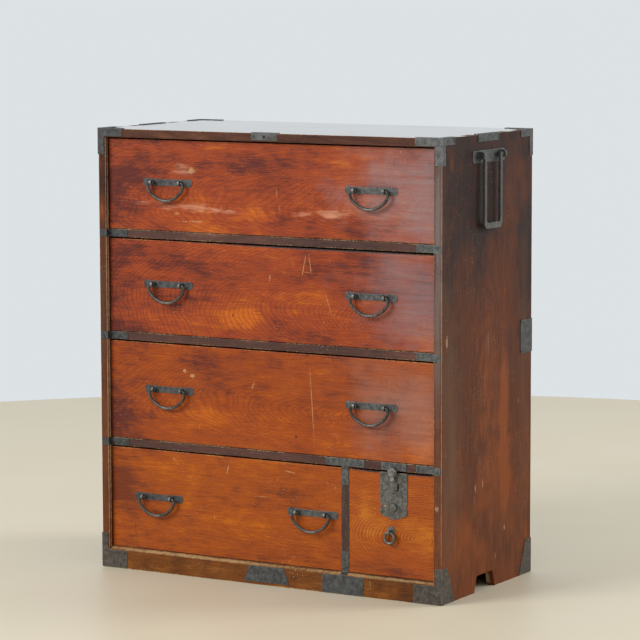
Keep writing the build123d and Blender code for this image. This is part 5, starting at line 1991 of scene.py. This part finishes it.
# ---------------------------------- the five drawer fronts
@dataclass
class Fronts:
    """The figure, tone and marks of each drawer's front; the lock's slot in millimetres."""

    face_depth: float
    slot_right: float = 8.0
    slot_drop: float = 29.0

    @staticmethod
    def darkening(bay: Bay) -> tuple[Spot, ...]:
        """Darker spots: along a front's left end; round its handle plates, partly dirt and partly
        painted shade; and a painted shadow under each bail.

        Args:
            bay: The drawer.

        Returns:
            The spots: darker tone, and painted shade and shadow.
        """
        low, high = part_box(f"{bay.value}_drawer_front")
        middle = (low.z + high.z) / 2 / MM
        spots = [Spot(Mark.SHADE, low.x / MM - 10.0, middle, 190.0, 210.0, strength=1.6)]
        for side in ("left", "right"):
            low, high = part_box(f"{bay.value}_drawer_{side}_bail")
            across, up = (low.x + high.x) / 2 / MM, high.z / MM
            # A dark halo round the handle plate: partly dirt, partly painted shade.
            spots.append(Spot(Mark.SHADE, across, up, 74.0, 17.0, strength=0.7))
            # A painted shadow under the bail's bow.
            spots.append(Spot(Mark.SHADE, across, low.z / MM, 44.0, 12.0, strength=0.6))
        return tuple(spots)

    @staticmethod
    def dark_and_shadow(bay: Bay, start: float, end: float, thickness: float) -> Spot:
        """A dark line painted along a front's top edge: the painted shadow in the gap above it.

        Args:
            bay: The drawer.
            start: Where the line starts, as a share of the front's width.
            end: Where it ends.
            thickness: How far down it reaches, in millimetres.

        Returns:
            The line's spot.
        """
        low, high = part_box(f"{bay.value}_drawer_front")
        left, width = low.x / MM, (high.x - low.x) / MM
        middle, half = left + width * (start + end) / 2, width * (end - start) / 2
        return Spot(Mark.DENT_AND_SHADOW, middle, high.z / MM, half, thickness, strength=1.3)

    def finish(
        self, bay: Bay, log: Log, tone: float, marks: tuple[Spot, ...], **other: object
    ) -> Lacquer:
        """One front's lacquer.

        Args:
            bay: The drawer.
            log: Where its board was cut.
            tone: How warm it is, from 0 to 1.
            marks: Its own marks, to which the common darker spots and painted shadows are added.
            other: What else differs from the other fronts.

        Returns:
            The lacquer.
        """
        if bay is not Bay.LOCK:
            marks += self.darkening(bay)
        faces = ((Face.FRONT, self.face_depth),)
        return Lacquer(bay.value, log=log, tone=tone, marks=marks, faces=faces, **other)

    def top(self) -> Lacquer:
        """The top drawer: dark, with pale scuffs.

        Returns:
            Its lacquer.
        """
        marks = (
            Spot(Mark.GLOW, -25.0, 816.0, 90.0, 30.0),
            Spot(Mark.SHADE, 93.0, 888.0, 150.0, 70.0, strength=0.8),
            Spot(Mark.SHADE, 40.0, 940.0, 230.0, 56.0, strength=1.1),
            Spot(Mark.SHADE, -270.0, 940.0, 190.0, 70.0, strength=1.5),
            Spot(Mark.SHADE, 250.0, 800.0, 120.0, 26.0, strength=0.5),
            Spot(Mark.RUB, -196.0, 829.0, 130.0, 11.0, -1.0, 0.9),
            Spot(Mark.RUB, -330.0, 836.0, 50.0, 7.0, strength=0.7),
            Spot(Mark.RUB, 168.0, 830.0, 46.0, 15.0, strength=1.2),
            Spot(Mark.RUB, 92.0, 827.0, 24.0, 8.0, strength=0.8),
            Spot(Mark.RUB, -215.0, 912.0, 44.0, 14.0, strength=0.6),
            # Painted sheen over the right end, a painted reflection.
            Spot(Mark.SHEEN, 400.0, 880.0, 260.0, 240.0, strength=1.15),
            Spot(Mark.BARE, -198.0, 912.0, 8.0, 7.0, strength=0.9),
            Spot(Mark.BARE, -185.0, 799.0, 16.0, 1.8, strength=0.9),
            Spot(Mark.BARE, -214.0, 798.0, 8.0, 1.5, strength=0.9),
            Spot(Mark.BARE, -236.0, 815.0, 6.0, 2.5, strength=0.7),
            Spot(Mark.DENT_AND_SHADOW, -100.0, 913.5, 4.0, 4.5, 30.0, 0.6),
            Spot(Mark.SCRATCH, 23.0, 871.0, 1.1, 19.0, 5.0, 0.8),
            Spot(Mark.SCRATCH, 30.0, 838.0, 0.9, 14.0, 6.0, 0.6),
        )
        log = Log((0.1, -0.115, 0.845), 0.16)
        return self.finish(Bay.TOP, log, 0.48, marks, figure=0.38, haze=(0.285, 0.215, 0.222))

    def upper(self) -> Lacquer:
        """The second drawer: an orange glow low down, a painted sheen and crossed scratches on the
        right.

        Returns:
            Its lacquer.
        """
        marks = (
            Spot(Mark.GLOW, -86.0, 588.0, 130.0, 36.0, strength=1.1),
            Spot(Mark.GLOW, 100.0, 620.0, 120.0, 50.0, strength=0.5),
            Spot(Mark.SHADE, -240.0, 705.0, 170.0, 56.0, strength=0.8),
            Spot(Mark.SHADE, 210.0, 720.0, 160.0, 36.0, strength=0.6),
            Spot(Mark.SHADE, 190.0, 670.0, 50.0, 40.0, strength=0.5),
            # Painted sheen over the right end, in two spots: a painted reflection.
            Spot(Mark.SHEEN, 380.0, 660.0, 220.0, 190.0, strength=1.05),
            Spot(Mark.SHEEN, 298.0, 690.0, 60.0, 40.0, strength=0.7),
            Spot(Mark.SCRATCH, 92.0, 716.0, 1.4, 32.0, -12.0),
            Spot(Mark.SCRATCH, 107.0, 718.0, 1.4, 32.0, 9.0),
            Spot(Mark.SCRATCH, 100.0, 700.0, 10.0, 1.0, 0.0, 0.7),
            Spot(Mark.SCRATCH, 154.0, 631.0, 1.2, 38.0, 19.0, 0.8),
            Spot(Mark.BARE, 5.0, 684.0, 2.2, 7.0, strength=0.8),
            Spot(Mark.DENT_AND_SHADOW, -91.0, 595.0, 3.5, 3.5),
            # The dark line along the top edge is the painted shadow in the gap above the front.
            self.dark_and_shadow(Bay.UPPER, 0.1, 1.3, 4.5),
            Spot(Mark.DENT_AND_SHADOW, -352.0, 735.0, 3.0, 3.0),
        )
        log = Log((0.12, -0.13, 0.607), 0.3)
        return self.finish(Bay.UPPER, log, 0.48, marks, figure=0.46, haze=(0.225, 0.178, 0.192))

    def lower(self) -> Lacquer:
        """The third drawer: warm, with one long scratch.

        Returns:
            Its lacquer.
        """
        marks = (
            Spot(Mark.GLOW, -127.0, 371.0, 130.0, 60.0, strength=0.6),
            Spot(Mark.GLOW, 230.0, 400.0, 90.0, 45.0, strength=0.4),
            Spot(Mark.SHADE, -178.0, 492.0, 110.0, 28.0, strength=0.6),
            Spot(Mark.SHADE, -370.0, 400.0, 110.0, 130.0, strength=0.8),
            Spot(Mark.SHADE, 20.0, 470.0, 120.0, 40.0, strength=0.3),
            Spot(Mark.GLOW, 400.0, 370.0, 110.0, 90.0, strength=0.6),
            # Painted sheen over the right end, a painted reflection.
            Spot(Mark.SHEEN, 360.0, 420.0, 230.0, 180.0, strength=0.8),
            Spot(Mark.SCRATCH, 111.0, 410.0, 1.3, 107.0, 3.8),
            Spot(Mark.BARE, -199.0, 453.5, 6.0, 4.5),
            Spot(Mark.BARE, -218.5, 463.0, 4.5, 4.5),
            Spot(Mark.BARE, -40.0, 442.0, 1.8, 8.0, -24.0, 0.8),
            Spot(Mark.DENT_AND_SHADOW, 70.0, 336.0, 4.0, 4.0),
            Spot(Mark.DENT_AND_SHADOW, -340.0, 480.0, 3.0, 2.6),
        )
        warm, middle = (0.56, 0.130, 0.005), (0.350, 0.066, 0.007)
        log = Log((-0.1, -0.12, 0.39), 0.22)
        tones = {"warm": warm, "middle": middle, "haze": (0.35, 0.205, 0.165)}
        return self.finish(Bay.LOWER, log, 0.49, marks, figure=0.36, swing=0.8, **tones)

    def wide(self) -> Lacquer:
        """The wide bottom drawer: the most orange of all, with little figure and ragged scratches.

        Returns:
            Its lacquer.
        """
        marks = (
            Spot(Mark.GLOW, -315.0, 226.0, 90.0, 44.0, strength=0.6),
            Spot(Mark.GLOW, -60.0, 120.0, 200.0, 50.0, strength=0.5),
            Spot(Mark.SHADE, -149.0, 232.0, 60.0, 34.0, strength=0.5),
            Spot(Mark.SHADE, -380.0, 150.0, 24.0, 100.0, strength=0.3),
            Spot(Mark.SHADE, 40.0, 200.0, 100.0, 40.0, strength=0.3),
            Spot(Mark.SCRATCH, 55.0, 257.0, 14.0, 1.8, -8.0),
            Spot(Mark.SCRATCH, -107.0, 250.0, 1.8, 15.0, -14.0),
            Spot(Mark.SCRATCH, -20.0, 196.0, 26.0, 1.3, 3.0, 0.7),
            Spot(Mark.BARE, -250.0, 262.0, 3.0, 2.0, strength=0.7),
            Spot(Mark.DENT_AND_SHADOW, -214.0, 134.0, 14.0, 2.6, 4.0, 0.6),
            Spot(Mark.DENT_AND_SHADOW, -355.0, 86.0, 1.1, 34.0, 4.0, 0.7),
        )
        deep, middle, warm = (0.170, 0.034, 0.009), (0.370, 0.076, 0.006), (0.56, 0.145, 0.003)
        log = Log((-0.1, -0.15, 0.13), 0.09)
        tones = {"deep": deep, "middle": middle, "warm": warm}
        return self.finish(Bay.WIDE, log, 0.5, marks, figure=0.18, wear=1.6, **tones)

    def lock(self) -> Lacquer:
        """The small drawer beside it, with an oval figure at its right end.

        Returns:
            Its lacquer.
        """
        low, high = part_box("lock_plate")
        slot_x = (low.x + high.x) / 2 / MM + self.slot_right
        slot_z = high.z / MM - self.slot_drop
        marks = (
            Spot(Mark.GLOW, 244.0, 200.0, 30.0, 70.0, strength=0.7),
            Spot(Mark.GLOW, 400.0, 150.0, 40.0, 70.0, strength=0.4),
            Spot(Mark.SHADE, 325.0, 58.0, 120.0, 20.0, strength=0.4),
            Spot(Mark.SHADE, 380.0, 225.0, 40.0, 50.0, strength=0.4),
            # A dark spot painted behind the keyhole: painted shade in its depth.
            Spot(Mark.DENT_AND_SHADOW, slot_x, slot_z, 14.0, 20.0, strength=1.4),
            # The dark line along the top edge is the painted shadow in the gap above the front.
            self.dark_and_shadow(Bay.LOCK, -0.3, 1.3, 5.0),
        )
        middle, warm = (0.420, 0.090, 0.009), (0.64, 0.205, 0.014)
        log = Log((0.392, self.face_depth, 0.140), 0.36, 3.2 * MM, 34.0 * MM)
        return self.finish(Bay.LOCK, log, 0.55, marks, figure=0.75, swing=0.6, middle=middle, warm=warm)

    def every(self) -> dict[Bay, Lacquer]:
        """All five fronts by drawer."""
        makers = (self.top, self.upper, self.lower, self.wide, self.lock)
        return {bay: make() for bay, make in zip(Bay, makers)}


# ---------------------------------- floor, light and camera
@dataclass
class Studio:
    """A plain pale floor, plain soft light and the camera."""

    floor_radius: float = 2.82
    floor_sides: int = 128
    floor_gap: float = 0.2 * MM
    wall: Colour = (0.72, 0.76, 0.78)
    ambient: Colour = (0.62, 0.63, 0.64)
    key_place: Triple = (-2.4, -4.2, 3.3)
    key_power: float = 190.0
    key_size: float = 2.4
    back_place: Triple = (3.6, 2.4, 2.6)
    back_power: float = 90.0
    back_size: float = 1.8
    target: Triple = (0.0, 0.0, 0.5)
    azimuth: float = 30.468
    elevation: float = 6.774
    roll: float = -0.173
    camera_place: Triple = (3.416, -5.783, 1.367)
    lens: float = 169.05
    sensor: float = 36.0
    farthest: float = 100.0

    def floor(self) -> None:
        """Lay the round floor, the same from every side."""
        bm = bmesh.new()
        bmesh.ops.create_circle(bm, cap_ends=True, segments=self.floor_sides, radius=self.floor_radius)
        bmesh.ops.translate(bm, verts=bm.verts, vec=(0.0, 0.0, -self.floor_gap))
        mesh = bpy.data.meshes.new("pale_floor")
        bm.to_mesh(mesh)
        bm.free()
        mesh.materials.append(FloorPaint("floor_paint").material())
        floor = bpy.data.objects.new("pale_floor", mesh)
        bpy.context.scene.collection.objects.link(floor)

    def surroundings(self) -> None:
        """A pale wall colour for the camera and gloss, a neutral sky for the light."""
        world = bpy.data.worlds.new("pale_room")
        world.use_nodes = True
        world.node_tree.nodes.clear()
        g = Graph(world.node_tree)
        path = g.add("ShaderNodeLightPath").outputs
        seen = g.math("MAXIMUM", path["Is Camera Ray"], path["Is Glossy Ray"])
        seen = g.math("MAXIMUM", seen, path["Is Transmission Ray"])
        sky = g.add("ShaderNodeBackground", {"Color": self.ambient})
        wall = g.add("ShaderNodeBackground", {"Color": self.wall})
        mixed = g.add("ShaderNodeMixShader", {0: seen, 1: sky.outputs[0], 2: wall.outputs[0]})
        g.add("ShaderNodeOutputWorld", {"Surface": mixed.outputs[0]})
        bpy.context.scene.world = world

    def lamp(self, name: str, place: Triple, power: float, size: float) -> None:
        """Hang a square soft light that faces the middle of the chest.

        Args:
            name: The light's name.
            place: Where it hangs.
            power: Its power in watts.
            size: Its side.
        """
        light = bpy.data.lights.new(name, "AREA")
        light.energy, light.size = power, size
        lamp = bpy.data.objects.new(name, light)
        lamp.location = place
        aim = Vector(self.target) - Vector(place)
        lamp.rotation_euler = aim.to_track_quat("-Z", "Y").to_euler()
        bpy.context.scene.collection.objects.link(lamp)

    def camera(self) -> None:
        """Set the camera: a long lens, from the front and right, a little above the top."""
        data = bpy.data.cameras.new("camera")
        data.lens, data.sensor_width = self.lens, self.sensor
        data.clip_end = self.farthest
        camera = bpy.data.objects.new("camera", data)
        azimuth, elevation, roll = (math.radians(a) for a in (self.azimuth, self.elevation, self.roll))
        level = math.cos(elevation)
        back = Vector((math.sin(azimuth) * level, -math.cos(azimuth) * level, math.sin(elevation)))
        right = Vector((math.cos(azimuth), math.sin(azimuth), 0.0))
        up = back.cross(right)
        turned = right * math.cos(roll) + up * math.sin(roll)
        risen = up * math.cos(roll) - right * math.sin(roll)
        facing = Matrix((turned, risen, back)).transposed().to_4x4()
        camera.matrix_world = Matrix.Translation(self.camera_place) @ facing
        bpy.context.scene.collection.objects.link(camera)
        bpy.context.scene.camera = camera

    def build(self) -> None:
        """Set up floor, light and camera."""
        self.floor()
        self.surroundings()
        self.lamp("key_light", self.key_place, self.key_power, self.key_size)
        self.lamp("back_light", self.back_place, self.back_power, self.back_size)
        self.camera()
        bpy.context.scene.view_settings.view_transform = "Standard"


def main() -> None:
    """Build the chest's looks piece by piece."""
    logging.basicConfig(level=logging.INFO, format="%(name)s: %(message)s")
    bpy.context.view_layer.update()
    irons = IronFinishes.build()
    LOG.info("metal finishes mixed")
    CaseWood().build()
    LOG.info("case boards finished")
    CaseIrons(irons).build()
    NailHeads(irons).build()
    LOG.info("case irons worked")
    dress("side_handle_eyes", irons.plate)
    for side in ("left", "right"):
        CarryHandle(side, irons).build()
    LOG.info("carrying handles forged")
    box = BareWood("kiri_box", grain=Grain.DEEP, log=Log((0.0, 0.1, 0.5), 0.05)).material()
    floor = BareWood("kiri_bottom", grain=Grain.FLAT, log=Log((0.0, 0.2, 0.1), 0.05)).material()
    for bay, front in Fronts(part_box("top_drawer_front")[0].y).every().items():
        Drawer(bay, front, irons, box, floor).build()
        LOG.info("%s drawer finished", bay.value)
    LockSet(irons).build()
    LOG.info("lock and ring pull made")
    Studio().build()
    LOG.info("studio set")


if __name__ == "__main__":
    main()
